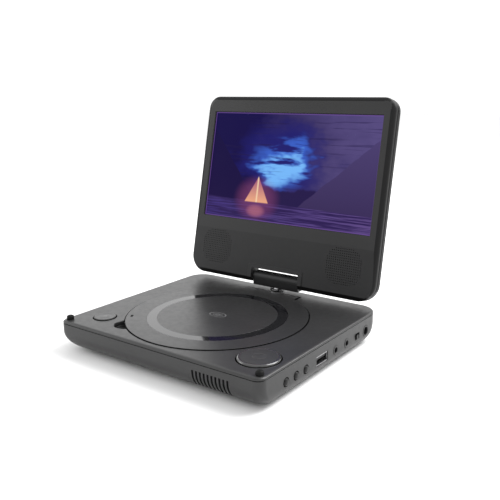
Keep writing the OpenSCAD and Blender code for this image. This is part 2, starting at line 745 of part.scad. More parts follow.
module lcd_backlight() color([0.7, 0.7, 0.72]) at_screen()
    box([-lcd_w / 2, face_y + bezel_t + 1.4, lcd_low], [lcd_w / 2, face_y + bezel_t + 4.4, lcd_high]);

module screen_board() color([0.1, 0.32, 0.2]) at_screen() {
    box([-52, 0.9, 52], [52, 2, 104]);
    box([-20, 2, 66], [-4, 3.2, 82]);
    box([14, 2, 60], [26, 3.4, 68]);
}

module speaker(s) at_screen() translate([s * speaker_x, 0, speaker_z]) along_y() difference() {
    union() {
        rod(speaker_r, face_y + bezel_t + eps, -0.6);
        rod(8, -0.7, 2.6);
    }
    rod(speaker_r - 1.6, -20, -1.6);
}
module left_speaker() color([0.3, 0.3, 0.32]) speaker(-1);
module right_speaker() color([0.3, 0.3, 0.32]) speaker(1);

module speaker_cones() color([0.12, 0.12, 0.13]) at_screen() for (s = [-1, 1])
    translate([s * speaker_x, 0, speaker_z]) along_y() difference() {
        translate([0, 0, -3.6]) cylinder(r1 = speaker_r - 1.7, r2 = 5, h = 1.9);
        translate([0, 0, -4.1]) cylinder(r1 = speaker_r - 1.7, r2 = 4.4, h = 1.9);
    }

in_row() bottom_case();
in_row() top_cover();
in_row() rubber_feet();
in_row() case_screws();
in_row() lid_bumpers();
in_row() drive_deck();
in_row() deck_dampers();
in_row() deck_screws();
in_row() spindle_motor();
in_row() sled_rails();
in_row() sled_motor();
in_row() main_board();
in_row() main_chips();
in_row() usb_shell();
in_row() usb_tongue();
in_row() headphone_jack();
in_row() av_jack();
in_row() power_switch_body();
in_row() dc_jack();
in_row() dc_pin();
in_row() side_switches();
in_row() key_board();
in_row() nav_switches();
in_row() battery_pack();
in_row() disc_lid_pins();
in_row() swivel_bush();
in_row() open_button_spring();
in_row() spindle_shaft();
in_row() spindle_hub();
in_row() hub_balls();
in_row() lead_screw();
in_row() laser_sled();
in_row() laser_lens();
in_row() disc_lid();
in_row() disc_lid_ring();
in_row() open_button();
in_row() lid_latch();
in_row() nav_rocker();
in_row() nav_pad();
in_row() side_button_1();
in_row() side_button_2();
in_row() side_button_3();
in_row() power_slider();
in_row() hinge_housing();
in_row() swivel_post();
in_row() swivel_clip();
in_row() hinge_shafts();
in_row() screen_bezel();
in_row() screen_back_cover();
in_row() lcd_panel();
in_row() lcd_backlight();
in_row() screen_board();
in_row() left_speaker();
in_row() right_speaker();
in_row() speaker_cones();
in_row() hinge_brackets();
in_row() screen_screws();
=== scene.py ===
import json
import math

import bmesh
import bpy
from mathutils import Matrix, Vector


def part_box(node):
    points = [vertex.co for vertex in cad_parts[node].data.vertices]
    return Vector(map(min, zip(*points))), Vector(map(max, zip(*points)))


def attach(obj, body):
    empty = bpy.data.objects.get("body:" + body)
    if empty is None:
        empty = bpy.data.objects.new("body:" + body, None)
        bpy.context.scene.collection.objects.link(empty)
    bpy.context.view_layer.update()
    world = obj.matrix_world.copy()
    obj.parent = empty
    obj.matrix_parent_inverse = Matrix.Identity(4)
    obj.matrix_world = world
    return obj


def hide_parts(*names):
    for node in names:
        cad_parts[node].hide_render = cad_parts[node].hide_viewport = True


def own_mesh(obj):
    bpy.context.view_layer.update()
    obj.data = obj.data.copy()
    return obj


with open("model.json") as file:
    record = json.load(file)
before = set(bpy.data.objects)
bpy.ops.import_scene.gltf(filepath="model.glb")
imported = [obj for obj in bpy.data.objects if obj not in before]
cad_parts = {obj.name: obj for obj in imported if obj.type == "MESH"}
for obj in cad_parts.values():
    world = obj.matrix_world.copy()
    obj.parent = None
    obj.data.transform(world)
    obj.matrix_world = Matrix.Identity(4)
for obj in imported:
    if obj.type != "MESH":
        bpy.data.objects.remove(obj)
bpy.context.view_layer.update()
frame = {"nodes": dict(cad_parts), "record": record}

# ---------------------------------------------------------------- measures, in millimetres
MM = 0.001
JOINTS = {j["name"]: j for j in frame["record"]["behaviour"]["joints"]}


def corners(node):
    """Both corners of a CAD node's box in the row frame, in millimetres."""
    lo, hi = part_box(node)
    return Vector(lo) / MM, Vector(hi) / MM


def half_width(node):
    lo, hi = corners(node)
    return (hi.x - lo.x) / 2


case_lo, case_hi = corners("bottom_case")
BASE_Y = (case_lo.y + case_hi.y) / 2
HALF_W = half_width("bottom_case")
HALF_D = (case_hi.y - case_lo.y) / 2
FOOT = case_lo.z
SEAM = case_hi.z
TOP = corners("top_cover")[1].z
CORNER = (6.0, 14.0)  # plan radius at the front and at the back
BELLY = 13.0  # radius of the lower edge
SOCKET_EDGE = 7.0  # the same at the socket side
WALL = 2.0

BASE = Matrix.Translation((0, BASE_Y * MM, 0)) @ Matrix.Scale(MM, 4)
pivot = Vector(JOINTS["screen_tilt"]["pos_m"])
LEAN = math.radians(-90 - JOINTS["screen_tilt"]["range_deg"][0])
SCREEN = Matrix.Translation(pivot) @ Matrix.Rotation(-LEAN, 4, "X") @ Matrix.Scale(MM, 4)
HINGE_Y = pivot.y / MM - BASE_Y
HINGE_Z = pivot.z / MM


def middle(node):
    """Middle of a CAD node in the base's own frame, in millimetres."""
    lo, hi = corners(node)
    m = (lo + hi) / 2
    return Vector((m.x, m.y - BASE_Y, m.z))


DISC = middle("disc_lid_ring")
OPEN = middle("open_button")
NAV = middle("nav_pad")
OPEN_R = half_width("open_button")
NAV_R = half_width("nav_pad")
DISC_R = 64.5  # radius of the lid's disc, with the gap to the cover outside it
GAP = 0.5
LEDGE_R = 61.8  # inside radius of the ledge under the lid's edge
WELL_FLOOR = 12.0
ON_AXIS = 0.01  # radius that closes a lathe's profile at its axis

# ---------------------------------------------------------------- mesh helpers


def finish(name, bm, place, body, material, angle=30):
    """The bmesh as an object at its place, riding on a body, with one material."""
    bmesh.ops.remove_doubles(bm, verts=bm.verts, dist=1e-5)
    bmesh.ops.recalc_face_normals(bm, faces=bm.faces)
    bm.transform(place)
    mesh = bpy.data.meshes.new(name)
    bm.to_mesh(mesh)
    bm.free()
    mesh.polygons.foreach_set("use_smooth", [True] * len(mesh.polygons))
    mesh.set_sharp_from_angle(angle=math.radians(angle))
    mesh.materials.append(material)
    obj = bpy.data.objects.new(name, mesh)
    bpy.context.scene.collection.objects.link(obj)
    normal = obj.modifiers.new("normals", "WEIGHTED_NORMAL")
    normal.keep_sharp = True
    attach(obj, body)
    return obj


def paint(obj, place, rules):
    """More materials by face: the first rule that accepts a face's middle gives its material."""
    for material, _ in rules:
        obj.data.materials.append(material)
    inverse = place.inverted()
    for poly in obj.data.polygons:
        at = inverse @ poly.center
        for index, (_, accepts) in enumerate(rules, 1):
            if accepts(at):
                poly.material_index = index
                break


def loft(rings, closed=False):
    """Skin over rings of points; a closed loft joins its last ring to the first and has no caps."""
    bm = bmesh.new()
    made = [[bm.verts.new(p) for p in ring] for ring in rings]
    count = len(made[0])
    pairs = list(zip(made, made[1:])) + ([(made[-1], made[0])] if closed else [])
    for a, b in pairs:
        for i in range(count):
            j = (i + 1) % count
            bm.faces.new((a[i], a[j], b[j], b[i]))
    if not closed:
        bm.faces.new(list(reversed(made[0])))
        bm.faces.new(made[-1])
    bmesh.ops.recalc_face_normals(bm, faces=bm.faces)
    return bm


def arc(cx, cy, rx, ry, start, end, steps=6):
    """Points on an ellipse's arc, angles in degrees."""
    out = []
    for i in range(steps + 1):
        a = math.radians(start + (end - start) * i / steps)
        out.append((cx + rx * math.cos(a), cy + ry * math.sin(a)))
    return out


def round_over(draw, face, height, step=10):
    """Levels of an elliptic edge up to a face; a negative height comes down to the face."""
    turns = [math.radians(a) for a in range(0, 91, step)]
    return [(draw * (1 - math.cos(a)), face - height + height * math.sin(a)) for a in turns]


def lathe(profile, at=(0, 0), n=96, closed=False, axis="z"):
    """Solid of revolution from (radius, height) points; the axis runs along z, x or y."""
    rings = []
    for r, h in profile:
        ring = []
        for i in range(n):
            a = 2 * math.pi * i / n
            c, s = r * math.cos(a), r * math.sin(a)
            if axis == "z":
                ring.append((at[0] + c, at[1] + s, h))
            elif axis == "x":
                ring.append((h, at[0] + c, at[1] + s))
            else:
                ring.append((at[0] + c, h, at[1] + s))
        rings.append(ring)
    return loft(rings, closed)


def front_back(radius):
    """A pair of radii, for the front and the back, from a pair or from one number."""
    return radius if isinstance(radius, tuple) else (radius, radius)


def outline(left, right, front, back, radius, seg=10):
    """Rounded rectangle from (-left, -front) to (right, back), counter-clockwise."""
    low, high = front_back(radius)
    out = []
    for cx, cy, r, start in (
        (right - high, back - high, high, 0),
        (high - left, back - high, high, 90),
        (low - left, low - front, low, 180),
        (right - low, low - front, low, 270),
    ):
        out += arc(cx, cy, r, r, start, start + 90, seg)
    return out


def slab(left, right, front, back, radius, levels, seg=10, plane="xy"):
    """Loft of a rounded rectangle through (inset, height) levels."""
    rings = []
    for inset, h in levels:
        r = tuple(max(v - inset, 0.05) for v in front_back(radius))
        pts = outline(left - inset, right - inset, front - inset, back - inset, r, seg)
        rings.append([(x, y, h) if plane == "xy" else (x, h, y) for x, y in pts])
    return loft(rings)


def box(lo, hi, radius=0.3):
    """Block with rounded upright edges and a small chamfer at both ends."""
    cx, cy = (lo[0] + hi[0]) / 2, (lo[1] + hi[1]) / 2
    hx, hy = (hi[0] - lo[0]) / 2, (hi[1] - lo[1]) / 2
    c = min(radius * 0.5, (hi[2] - lo[2]) / 4)
    levels = [(c, lo[2]), (0, lo[2] + c), (0, hi[2] - c), (c, hi[2])]
    return moved(slab(hx, hx, hy, hy, radius, levels, 4), cx, cy)


def hole(r, low, top, fillet, at=(0, 0), n=96, axis="z"):
    """Cutter for a round hole whose rim at the top is rounded by the fillet."""
    rim = [(r + draw, h) for draw, h in round_over(fillet, top, fillet, 30)]
    return lathe([(r, low)] + rim + [(r + fillet, top + 2)], at, n, axis=axis)


def joined(parts):
    """Several bmeshes in one, without a union."""
    bm = bmesh.new()
    for p in parts:
        mesh = bpy.data.meshes.new("part")
        p.to_mesh(mesh)
        p.free()
        bm.from_mesh(mesh)
        bpy.data.meshes.remove(mesh)
    return bm


def boolean(bm, other, operation):
    """Exact boolean of two bmeshes; both are used up."""
    pair = []
    for name, source in (("kept", bm), ("tool", other)):
        mesh = bpy.data.meshes.new(name)
        source.to_mesh(mesh)
        source.free()
        pair.append(bpy.data.objects.new(name, mesh))
        bpy.context.scene.collection.objects.link(pair[-1])
    kept, tool = pair
    mod = kept.modifiers.new("cut", "BOOLEAN")
    mod.operation = operation
    mod.object = tool
    mod.solver = "EXACT"
    mod.use_self = True
    graph = bpy.context.evaluated_depsgraph_get()
    result = bpy.data.meshes.new_from_object(kept.evaluated_get(graph))
    for obj in pair:
        mesh = obj.data
        bpy.data.objects.remove(obj)
        bpy.data.meshes.remove(mesh)
    out = bmesh.new()
    out.from_mesh(result)
    bpy.data.meshes.remove(result)
    bmesh.ops.dissolve_degenerate(out, edges=out.edges, dist=1e-5)
    return out


def cut(bm, *cutters):
    return boolean(bm, joined(cutters), "DIFFERENCE")


def add(bm, other):
    return boolean(bm, other, "UNION")


def moved(bm, x=0, y=0, z=0, turn=0):
    """Turn a bmesh about z by degrees, then shift it; it is the same bmesh."""
    bm.transform(Matrix.Translation((x, y, z)) @ Matrix.Rotation(math.radians(turn), 4, "Z"))
    return bm


# ---------------------------------------------------------------- materials


class Nodes:
    """Short calls for building a material's node tree."""

    def __init__(self, name):
        self.mat = bpy.data.materials.new(name)
        self.mat.use_nodes = True
        self.tree = self.mat.node_tree
        self.tree.nodes.clear()
        self.out = self.new("ShaderNodeOutputMaterial")
        self.bsdf = self.new("ShaderNodeBsdfPrincipled")
        self.link(self.bsdf.outputs[0], self.out.inputs[0])
        self.coord = self.new("ShaderNodeTexCoord").outputs["Object"]

    def new(self, kind, **values):
        node = self.tree.nodes.new(kind)
        for k, v in values.items():
            setattr(node, k, v)
        return node

    def link(self, a, b):
        self.tree.links.new(a, b)

    def feed(self, socket, value):
        """Link a node's output to a socket, or set a plain value on it."""
        if isinstance(value, bpy.types.NodeSocket):
            self.link(value, socket)
        else:
            socket.default_value = value

    def set(self, **values):
        """Feed the main shader's inputs; an underscore in a name stands for a space."""
        for k, v in values.items():
            self.feed(self.bsdf.inputs[k.replace("_", " ")], v)

    def noise(self, scale, detail=2.0, rough=0.5, stretch=None, coord=None):
        node = self.new("ShaderNodeTexNoise")
        source = coord or self.coord
        if stretch:
            mapping = self.new("ShaderNodeMapping")
            mapping.inputs["Scale"].default_value = stretch
            self.link(source, mapping.inputs[0])
            source = mapping.outputs[0]
        self.link(source, node.inputs["Vector"])
        node.inputs["Scale"].default_value = scale
        node.inputs["Detail"].default_value = detail
        node.inputs["Roughness"].default_value = rough
        return node.outputs["Fac"]

    def remap(self, value, a, b, c, d, smooth=False):
        """A value's range a to b spread over c to d, and held there beyond it."""
        node = self.new("ShaderNodeMapRange")
        node.interpolation_type = "SMOOTHSTEP" if smooth else "LINEAR"
        self.feed(node.inputs["Value"], value)
        for k, v in zip(("From Min", "From Max", "To Min", "To Max"), (a, b, c, d)):
            self.feed(node.inputs[k], v)
        return node.outputs[0]

    def math(self, operation, a, b=0.0, c=0.0):
        node = self.new("ShaderNodeMath", operation=operation)
        for socket, v in zip(node.inputs, (a, b, c)):
            self.feed(socket, v)
        return node.outputs[0]

    def mix(self, factor, a, b, blend="MIX"):
        node = self.new("ShaderNodeMix", data_type="RGBA", blend_type=blend)
        self.feed(node.inputs["Factor"], factor)
        for socket, v in ((node.inputs[6], a), (node.inputs[7], b)):
            self.feed(socket, v if isinstance(v, bpy.types.NodeSocket) else (*v, 1))
        return node.outputs[2]

    def bump(self, height, strength, distance):
        node = self.new("ShaderNodeBump")
        node.inputs["Strength"].default_value = strength
        node.inputs["Distance"].default_value = distance
        self.link(height, node.inputs["Height"])
        self.link(node.outputs[0], self.bsdf.inputs["Normal"])


def shade(rgb, k):
    """A colour made darker or lighter by a factor."""
    return tuple(min(c * k, 1) for c in rgb)


GRAIN_SIZE = 0.00035  # metres


def plastic(name, rgb, rough, grain=0.10, wear=0.12, coat=0.0, shine=0.38):
    """Moulded plastic with a fine spark-eroded grain and slightly lighter edges."""
    n = Nodes(name)
    broad = n.noise(28, 3)
    tone = n.mix(n.remap(broad, 0.35, 0.65, 0, 1), shade(rgb, 0.93), shade(rgb, 1.07))
    point = n.new("ShaderNodeNewGeometry").outputs["Pointiness"]
    edge = n.remap(point, 0.52, 0.6, 0, wear)
    n.set(Base_Color=n.mix(edge, tone, shade(rgb, 2.4)))
    fine = n.noise(1 / GRAIN_SIZE, 3, 0.6)
    n.set(Roughness=n.remap(n.noise(300, 2), 0.3, 0.7, rough - 0.03, rough + 0.04))
    n.bump(fine, grain, GRAIN_SIZE * 0.35)
    n.set(Specular_IOR_Level=shine, Coat_Weight=coat, Coat_Roughness=0.15)
    return n.mat


def gloss(name, rgb, rough=0.07):
    """Polished plastic with faint haze and moulding waviness."""
    n = Nodes(name)
    haze = n.noise(180, 4, 0.6)
    n.set(Base_Color=n.mix(n.remap(haze, 0.3, 0.7, 0, 1), rgb, shade(rgb, 1.3)))
    n.set(Roughness=n.remap(haze, 0.35, 0.75, rough, rough + 0.05))
    n.bump(n.noise(45, 1), 0.04, 0.0004)
    n.set(Specular_IOR_Level=0.6)
    return n.mat


def rubber(name, rgb):
    """Matt rubber with dusty patches."""
    n = Nodes(name)
    fine = n.noise(2600, 4, 0.7)
    dust = n.remap(n.noise(120, 3), 0.3, 0.7, 0, 1)
    n.set(Base_Color=n.mix(dust, shade(rgb, 0.8), shade(rgb, 1.3)))
    n.set(Roughness=n.remap(fine, 0.3, 0.7, 0.5, 0.65))
    n.bump(fine, 0.25, 0.0002)
    n.set(Specular_IOR_Level=0.12)
    return n.mat


def metal(name, rgb, rough, brushed=True):
    """Metal with lines drawn along x, or with an even fine grain."""
    n = Nodes(name)
    lines = n.noise(900, 3, 0.6, (1, 30, 30)) if brushed else n.noise(500, 3, 0.6)
    n.set(Base_Color=n.mix(n.remap(lines, 0.3, 0.7, 0, 1), shade(rgb, 0.85), rgb))
    n.set(Roughness=n.remap(lines, 0.3, 0.7, rough, rough + 0.12))
    n.set(Metallic=1.0)
    n.bump(lines, 0.08, 0.0001)
    return n.mat


def board(name):
    """Solder resist with tracks and pads."""
    n = Nodes(name)
    brick = n.new("ShaderNodeTexBrick")
    n.link(n.coord, brick.inputs["Vector"])
    brick.inputs["Scale"].default_value = 260
    brick.inputs["Mortar Size"].default_value = 0.06
    tracks = n.mix(brick.outputs["Fac"], (0.01, 0.09, 0.045), (0.03, 0.2, 0.1))
    voronoi = n.new("ShaderNodeTexVoronoi")
    n.link(n.coord, voronoi.inputs["Vector"])
    voronoi.inputs["Scale"].default_value = 420
    pads = n.remap(voronoi.outputs["Distance"], 0.12, 0.16, 1, 0)
    n.set(Base_Color=n.mix(pads, tracks, (0.6, 0.6, 0.58)))
    n.set(Roughness=n.remap(pads, 0, 1, 0.35, 0.25))
    n.bump(brick.outputs["Fac"], 0.2, 0.00005)
    return n.mat


def wrap_film(name, rgb):
    """Shrink film round the battery, with soft folds."""
    n = Nodes(name)
    folds = n.noise(90, 4, 0.6, (1, 6, 1))
    n.set(Base_Color=n.mix(n.remap(folds, 0.3, 0.7, 0, 1), shade(rgb, 0.7), rgb))
    n.set(Roughness=0.22)
    n.bump(folds, 0.3, 0.0005)
    return n.mat


def cone_fibre(name):
    """Pressed paper of the speaker cones."""
    n = Nodes(name)
    fibre = n.noise(1500, 5, 0.8)
    n.set(Base_Color=n.mix(fibre, (0.02, 0.02, 0.02), (0.07, 0.07, 0.07)), Roughness=0.9)
    n.bump(fibre, 0.4, 0.0002)
    return n.mat


def lens_glass(name):
    """Coated lens: blue from the front, violet at a slant."""
    n = Nodes(name)
    layer = n.new("ShaderNodeLayerWeight")
    layer.inputs["Blend"].default_value = 0.35
    n.set(Base_Color=n.mix(layer.outputs["Facing"], (0.05, 0.08, 0.3), (0.35, 0.1, 0.45)))
    n.set(Roughness=n.remap(n.noise(400), 0.3, 0.7, 0.03, 0.07))
    n.set(Coat_Weight=1.0)
    return n.mat


def picture(name):
    """Display showing a made-up night valley: a lit cloud, slopes, a lake and a glowing tent."""
    n = Nodes(name)
    uv = n.new("ShaderNodeTexCoord").outputs["UV"]
    split = n.new("ShaderNodeSeparateXYZ")
    n.link(uv, split.inputs[0])
    u, v = split.outputs[0], split.outputs[1]

    def times(a, b):
        return n.math("MULTIPLY", a, b)

    def minus(a, b):
        return n.math("SUBTRACT", a, b)

    def spot(point, centre, reach, hard=0.0):
        """1 inside an ellipse, fading to 0 at its edge; hard is where the fade starts."""
        du, dv = (n.math("DIVIDE", minus(p, c), s) for p, c, s in zip(point, centre, reach))
        return n.remap(n.math("ADD", times(du, du), times(dv, dv)), hard, 1.0, 1.0, 0.0, True)

    def below(line, edge):
        return n.remap(minus(line, v), -edge, edge, 0.0, 1.0, True)

    def hills(level, height, scale, seed):
        """Everything below a rolling skyline."""
        along = n.new("ShaderNodeCombineXYZ")
        n.link(u, along.inputs[0])
        along.inputs[1].default_value = seed
        wave = n.noise(scale, 4, 0.55, coord=along.outputs[0])
        return below(n.math("MULTIPLY_ADD", minus(wave, 0.5), height, level), 0.012)

    def slope(v_left, v_right, edge=0.006, rough=0.05):
        """Everything below a ragged line from the left edge to the right edge."""
        wave = n.noise(7, 4, 0.6, coord=uv)
        line = n.remap(u, 0, 1, v_left, v_right)
        return below(n.math("MULTIPLY_ADD", minus(wave, 0.5), rough, line), edge)

    # sky and cloud, in coordinates that a noise bends
    warp = times(minus(n.noise(4.5, 3, 0.6, coord=uv), 0.5), 0.55)
    bent = n.math("ADD", u, warp), n.math("MULTIPLY_ADD", warp, 0.7, v)
    cloud = n.noise(3.4, 4, 0.55, (1.0, 2.6, 1.0), coord=uv)
    shown = n.mix(n.remap(bent[0], 0.3, 0.95, 0, 1), (0.005, 0.001, 0.062), (0.095, 0.070, 0.215))
    halo = times(spot(bent, (0.44, 0.56), (0.34, 0.46)), 0.85)
    shown = n.mix(halo, shown, (0.012, 0.011, 0.17))
    puffs = n.remap(cloud, 0.40, 0.50, 0, 1, True)
    shown = n.mix(times(spot(bent, (0.47, 0.54), (0.21, 0.27), 0.1), puffs), shown,
                  (0.045, 0.13, 0.62))
    bright_puffs = n.remap(cloud, 0.44, 0.53, 0, 1, True)
    shown = n.mix(times(spot(bent, (0.47, 0.50), (0.15, 0.17), 0.2), bright_puffs), shown,
                  (0.19, 0.50, 0.99))
    streak = n.noise(4.0, 3, 0.6, (0.6, 9.0, 1.0), coord=uv)
    shown = n.mix(n.remap(streak, 0.55, 0.66, 0, 0.5, True), shown, (0.014, 0.007, 0.06))

    # hills far off, and a slope at each side
    shown = n.mix(hills(0.30, 0.42, 3.1, 1.7), shown, (0.018, 0.009, 0.068))
    right = n.mix(n.remap(v, 0.1, 0.8, 0, 1), (0.040, 0.024, 0.095), (0.072, 0.050, 0.165))
    left = n.mix(n.remap(v, 0.1, 0.9, 0, 1), (0.010, 0.003, 0.052), (0.005, 0.001, 0.052))
    shown = n.mix(slope(-0.72, 0.80), shown, right)
    shown = n.mix(slope(0.86, -1.30), shown, left)

    # lake
    ripple = n.noise(7, 3, 0.6, (0.5, 9.0, 1.0), coord=uv)
    pale = n.mix(n.remap(u, 0.0, 1.0, 0, 1), (0.050, 0.030, 0.19), (0.115, 0.068, 0.235))
    lake = n.mix(n.remap(ripple, 0.42, 0.62, 0, 1, True), (0.026, 0.012, 0.085), pale)
    shown = n.mix(slope(0.19, 0.15, 0.004, 0.02), shown, lake)

    # tent with its glow and its light on the water
    tent_u = 0.33
    shown = n.mix(times(spot((u, v), (tent_u, 0.20), (0.16, 0.24)), 0.6), shown, (0.22, 0.05, 0.16))
    side = n.math("DIVIDE", n.math("ABSOLUTE", minus(u, tent_u)), 0.075)
    rise = n.math("DIVIDE", minus(v, 0.17), 0.24)
    ridge = n.remap(n.math("ADD", side, rise), 0.95, 1.02, 1, 0)
    tent = times(ridge, n.remap(v, 0.165, 0.175, 0, 1))
    cloth = n.mix(n.remap(rise, 0.0, 0.9, 0, 1), (0.88, 0.42, 0.24), (0.36, 0.09, 0.20))
    cloth = n.mix(n.remap(side, 0.0, 0.10, 1, 0), cloth, (0.98, 0.72, 0.45))
    shown = n.mix(tent, shown, cloth)
    shown = n.mix(times(spot((u, v), (tent_u, 0.09), (0.07, 0.07)), 0.6), shown, (0.50, 0.16, 0.22))

    # stars in the upper third
    cells = n.new("ShaderNodeTexVoronoi")
    n.link(uv, cells.inputs["Vector"])
    cells.inputs["Scale"].default_value = 60
    star = n.remap(cells.outputs["Distance"], 0.0, 0.07, 1.0, 0.0, True)
    sparse = n.remap(n.noise(40, 1, coord=uv), 0.60, 0.64, 0, 1)
    high = n.remap(v, 0.6, 0.75, 0, 1, True)
    shown = n.mix(times(times(star, sparse), high), shown, (0.4, 0.5, 0.95))

    # painted highlight: a violet line along the panel's edge, standing in for light that the
    # window's chamfer catches from the display
    chamfer_glint_u = n.remap(n.math("ABSOLUTE", minus(u, 0.5)), 0.4945, 0.4965, 0, 1)
    chamfer_glint_v = n.remap(n.math("ABSOLUTE", minus(v, 0.5)), 0.490, 0.4935, 0, 1)
    shown = n.mix(times(n.math("MAXIMUM", chamfer_glint_u, chamfer_glint_v), 0.7), shown, (0.16, 0.08, 0.33))

    n.set(Base_Color=(0.001, 0.001, 0.002, 1), Emission_Color=shown)
    n.set(Roughness=n.remap(n.noise(60), 0.3, 0.7, 0.22, 0.26))
    n.set(Specular_IOR_Level=0.05, Emission_Strength=0.95)
    return n.mat


CASE = plastic("case_plastic", (0.021, 0.021, 0.0213), 0.36)
LID = plastic("lid_plastic", (0.019, 0.019, 0.0193), 0.34)
SCREEN_CASE = plastic("screen_plastic", (0.018, 0.018, 0.0185), 0.42, shine=0.3)
SPEAKER = plastic("speaker_panel", (0.013, 0.013, 0.0135), 0.5, 0.2, shine=0.3)
BUTTON = plastic("button_plastic", (0.026, 0.026, 0.0265), 0.34, 0.08, 0.3)
PAD = plastic("pad_plastic", (0.020, 0.020, 0.0205), 0.42, 0.08, 0.2)
PAD_RIM = plastic("pad_rim", (0.024, 0.024, 0.0245), 0.18, 0.03, 0.3, coat=0.3, shine=0.7)
# painted shade: a near-black copy of the plastic, put on flanks, gaps and bottom bands that sit in
# shadow
SHADE = plastic("shaded_flank", (0.004, 0.004, 0.0042), 0.5, 0.05, 0.0, shine=0.1)
SIDE = plastic("side_button_plastic", (0.0035, 0.0035, 0.0036), 0.34, 0.05, 0.2, shine=0.26)
# painted shade: the well is darker than the case, so the gap round the lid reads as a dark shadow
# line
SHADED_WELL = plastic("well_painted_shade", (0.010, 0.010, 0.0105), 0.42)
# painted shade: a darker copy of the screen plastic for the band round the screen's edges
SHADED_RIM = plastic("screen_rim_painted_shade", (0.009, 0.009, 0.0093), 0.46, 0.06, 0.1, shine=0.14)
# painted shade: a darker copy of the plastic for the hinge housing, whose skirt sits in shadow
SHADED_HINGE = plastic("hinge_painted_shade", (0.006, 0.006, 0.0065), 0.30, 0.05)
INNER = plastic("inner_plastic", (0.007, 0.007, 0.0075), 0.45)
BLACK = gloss("gloss_black", (0.006, 0.006, 0.007))
RUBBER = rubber("rubber_black", (0.005, 0.005, 0.005))
STEEL = metal("steel", (0.55, 0.55, 0.56), 0.28)
BRIGHT = metal("bright_steel", (0.75, 0.75, 0.76), 0.12, False)
USB_METAL = metal("usb_metal", (0.5, 0.5, 0.51), 0.25)
MARK = plastic("mark_paint", (0.13, 0.13, 0.13), 0.5, 0.05, 0.0)
BOARD = board("board_green")
CHIP = plastic("chip_black", (0.015, 0.015, 0.016), 0.5, 0.2)
FILM = wrap_film("battery_wrap", (0.05, 0.12, 0.3))
BACKLIGHT = gloss("backlight_film", (0.7, 0.7, 0.72), 0.3)
CONE = cone_fibre("cone_paper")
LENS = lens_glass("lens_glass")
PICTURE = picture("display")
BY_SLOT = {
    "case_plastic": CASE, "lid_plastic": LID, "screen_plastic": SCREEN_CASE,
    "gloss_black": BLACK, "button_plastic": BUTTON, "inner_plastic": INNER,
    "rubber_black": RUBBER, "steel": STEEL, "bright_steel": BRIGHT,
    "board_green": BOARD, "chip_black": CHIP, "battery_wrap": FILM, "display": PICTURE,
    "backlight_film": BACKLIGHT, "cone_paper": CONE, "lens_glass": LENS,
}
OWN_LOOK = {"usb_shell": USB_METAL, "swivel_post": BRIGHT, "power_slider": SIDE}
for part in frame["record"]["subparts"]:
    name = part["node"]
    for s in frame["nodes"][name].material_slots:
        s.material = OWN_LOOK.get(name, BY_SLOT[part["material_slot"]])

# ---------------------------------------------------------------- base: tub


def belly(radius, height):
    """How far a rounded lower edge draws in at a height above the edge's start."""
    if height >= radius:
        return 0.0
    return radius - math.sqrt(max(radius**2 - (radius - height) ** 2, 0))


def tub_ring(grow, bottom, h, lip=0.0):
    """One level of the tub: front, back and left draw in together, the socket side less."""
    wide = belly(BELLY - grow, h - bottom) + grow + lip
    narrow = belly(SOCKET_EDGE - grow, h - bottom) + grow + lip
    r = tuple(v - grow * 0.8 + (wide - grow) * 0.35 for v in CORNER)
    pts = outline(HALF_W - wide, HALF_W - narrow, HALF_D - wide, HALF_D - wide, r, 12)
    return [(x, y, h) for x, y in pts]


def tub_heights(bottom, radius, top):
    """Heights of the tub's levels: close together round the lower edge, none near the top."""
    out = [bottom + radius * (1 - math.cos(math.radians(a))) for a in range(0, 91, 9)]
    out += [bottom + 0.35 + i * 0.5 for i in range(6)]
    return sorted(set(round(h, 3) for h in out if h < top - 0.7))


SEAM_GROOVE = [(0.4, 0), (0.22, 0.04), (0.16, 0.12), (0.16, 0.9), (0, 0.95)]  # (down, in)
rings = [tub_ring(0, FOOT, h) for h in tub_heights(FOOT, BELLY, SEAM)]
rings += [tub_ring(0, FOOT, SEAM - down, lip) for down, lip in SEAM_GROOVE]
inside = FOOT + WALL
inner = [tub_ring(WALL, inside, h) for h in tub_heights(inside, BELLY - WALL, SEAM + 1.5)]
inner += [tub_ring(WALL, inside, SEAM)]
bm = loft(rings + list(reversed(inner)))

SOCKET_Z = middle("side_button_1").z
SOCKET_WALL = HALF_W - 4  # where the openings in the socket side start, inside its wall


def side_slot(node, half_y, half_z):
    """Cutter for a rectangular opening in the socket side with a small chamfer."""
    y = middle(node).y
    rings = []
    for x, grow in ((SOCKET_WALL, 0), (HALF_W - 0.25, 0), (HALF_W, 0.22), (HALF_W + 2, 0.22)):
        pts = outline(half_y + grow, half_y + grow, half_z + grow, half_z + grow, 0.5, 5)
        rings.append([(x, y + a, SOCKET_Z + b) for a, b in pts])
    return loft(rings)


def side_hole(node, r, fillet, n):
    """Cutter for a round opening in the socket side."""
    return hole(r, SOCKET_WALL, HALF_W, fillet, (middle(node).y, SOCKET_Z), n, "x")


# CAD node: piece, face radius, bore radius, half width of the block, bore depth, stand-out
JACKS = {
    "headphone_jack": ("headphone_socket", 3.0, 1.85, 3.6, 12.5, 0.25),
    "av_jack": ("av_socket", 3.0, 1.85, 3.6, 12.5, 0.25),
    "dc_jack": ("dc_socket", 4.0, 2.9, 4.5, 11, 0.2),
}
SIDE_BUTTONS = (1, 2, 3)
side_holes = [side_hole("side_button_%d" % k, 3.0, 0.15, 40) for k in SIDE_BUTTONS]
side_holes += [side_hole(node, face_r + 0.1, 0.25, 48) for node, (_, face_r, *_) in JACKS.items()]
side_holes += [side_slot("usb_shell", 6.9, 3.2), side_slot("power_switch_body", 2.9, 2.2)]

VENT_COUNT, VENT_FIRST, VENT_PITCH, VENT_HALF = 10, 36, 2.95, 0.75
VENT_LEVELS = [(0, -16.5), (0, -6.5)]  # below the cover's face
vents = []
for i in range(VENT_COUNT):
    vent = slab(VENT_HALF, VENT_HALF, 5, 5, 0.7, VENT_LEVELS, 5)
    vents.append(moved(vent, VENT_FIRST + i * VENT_PITCH, -HALF_D + 3, TOP))

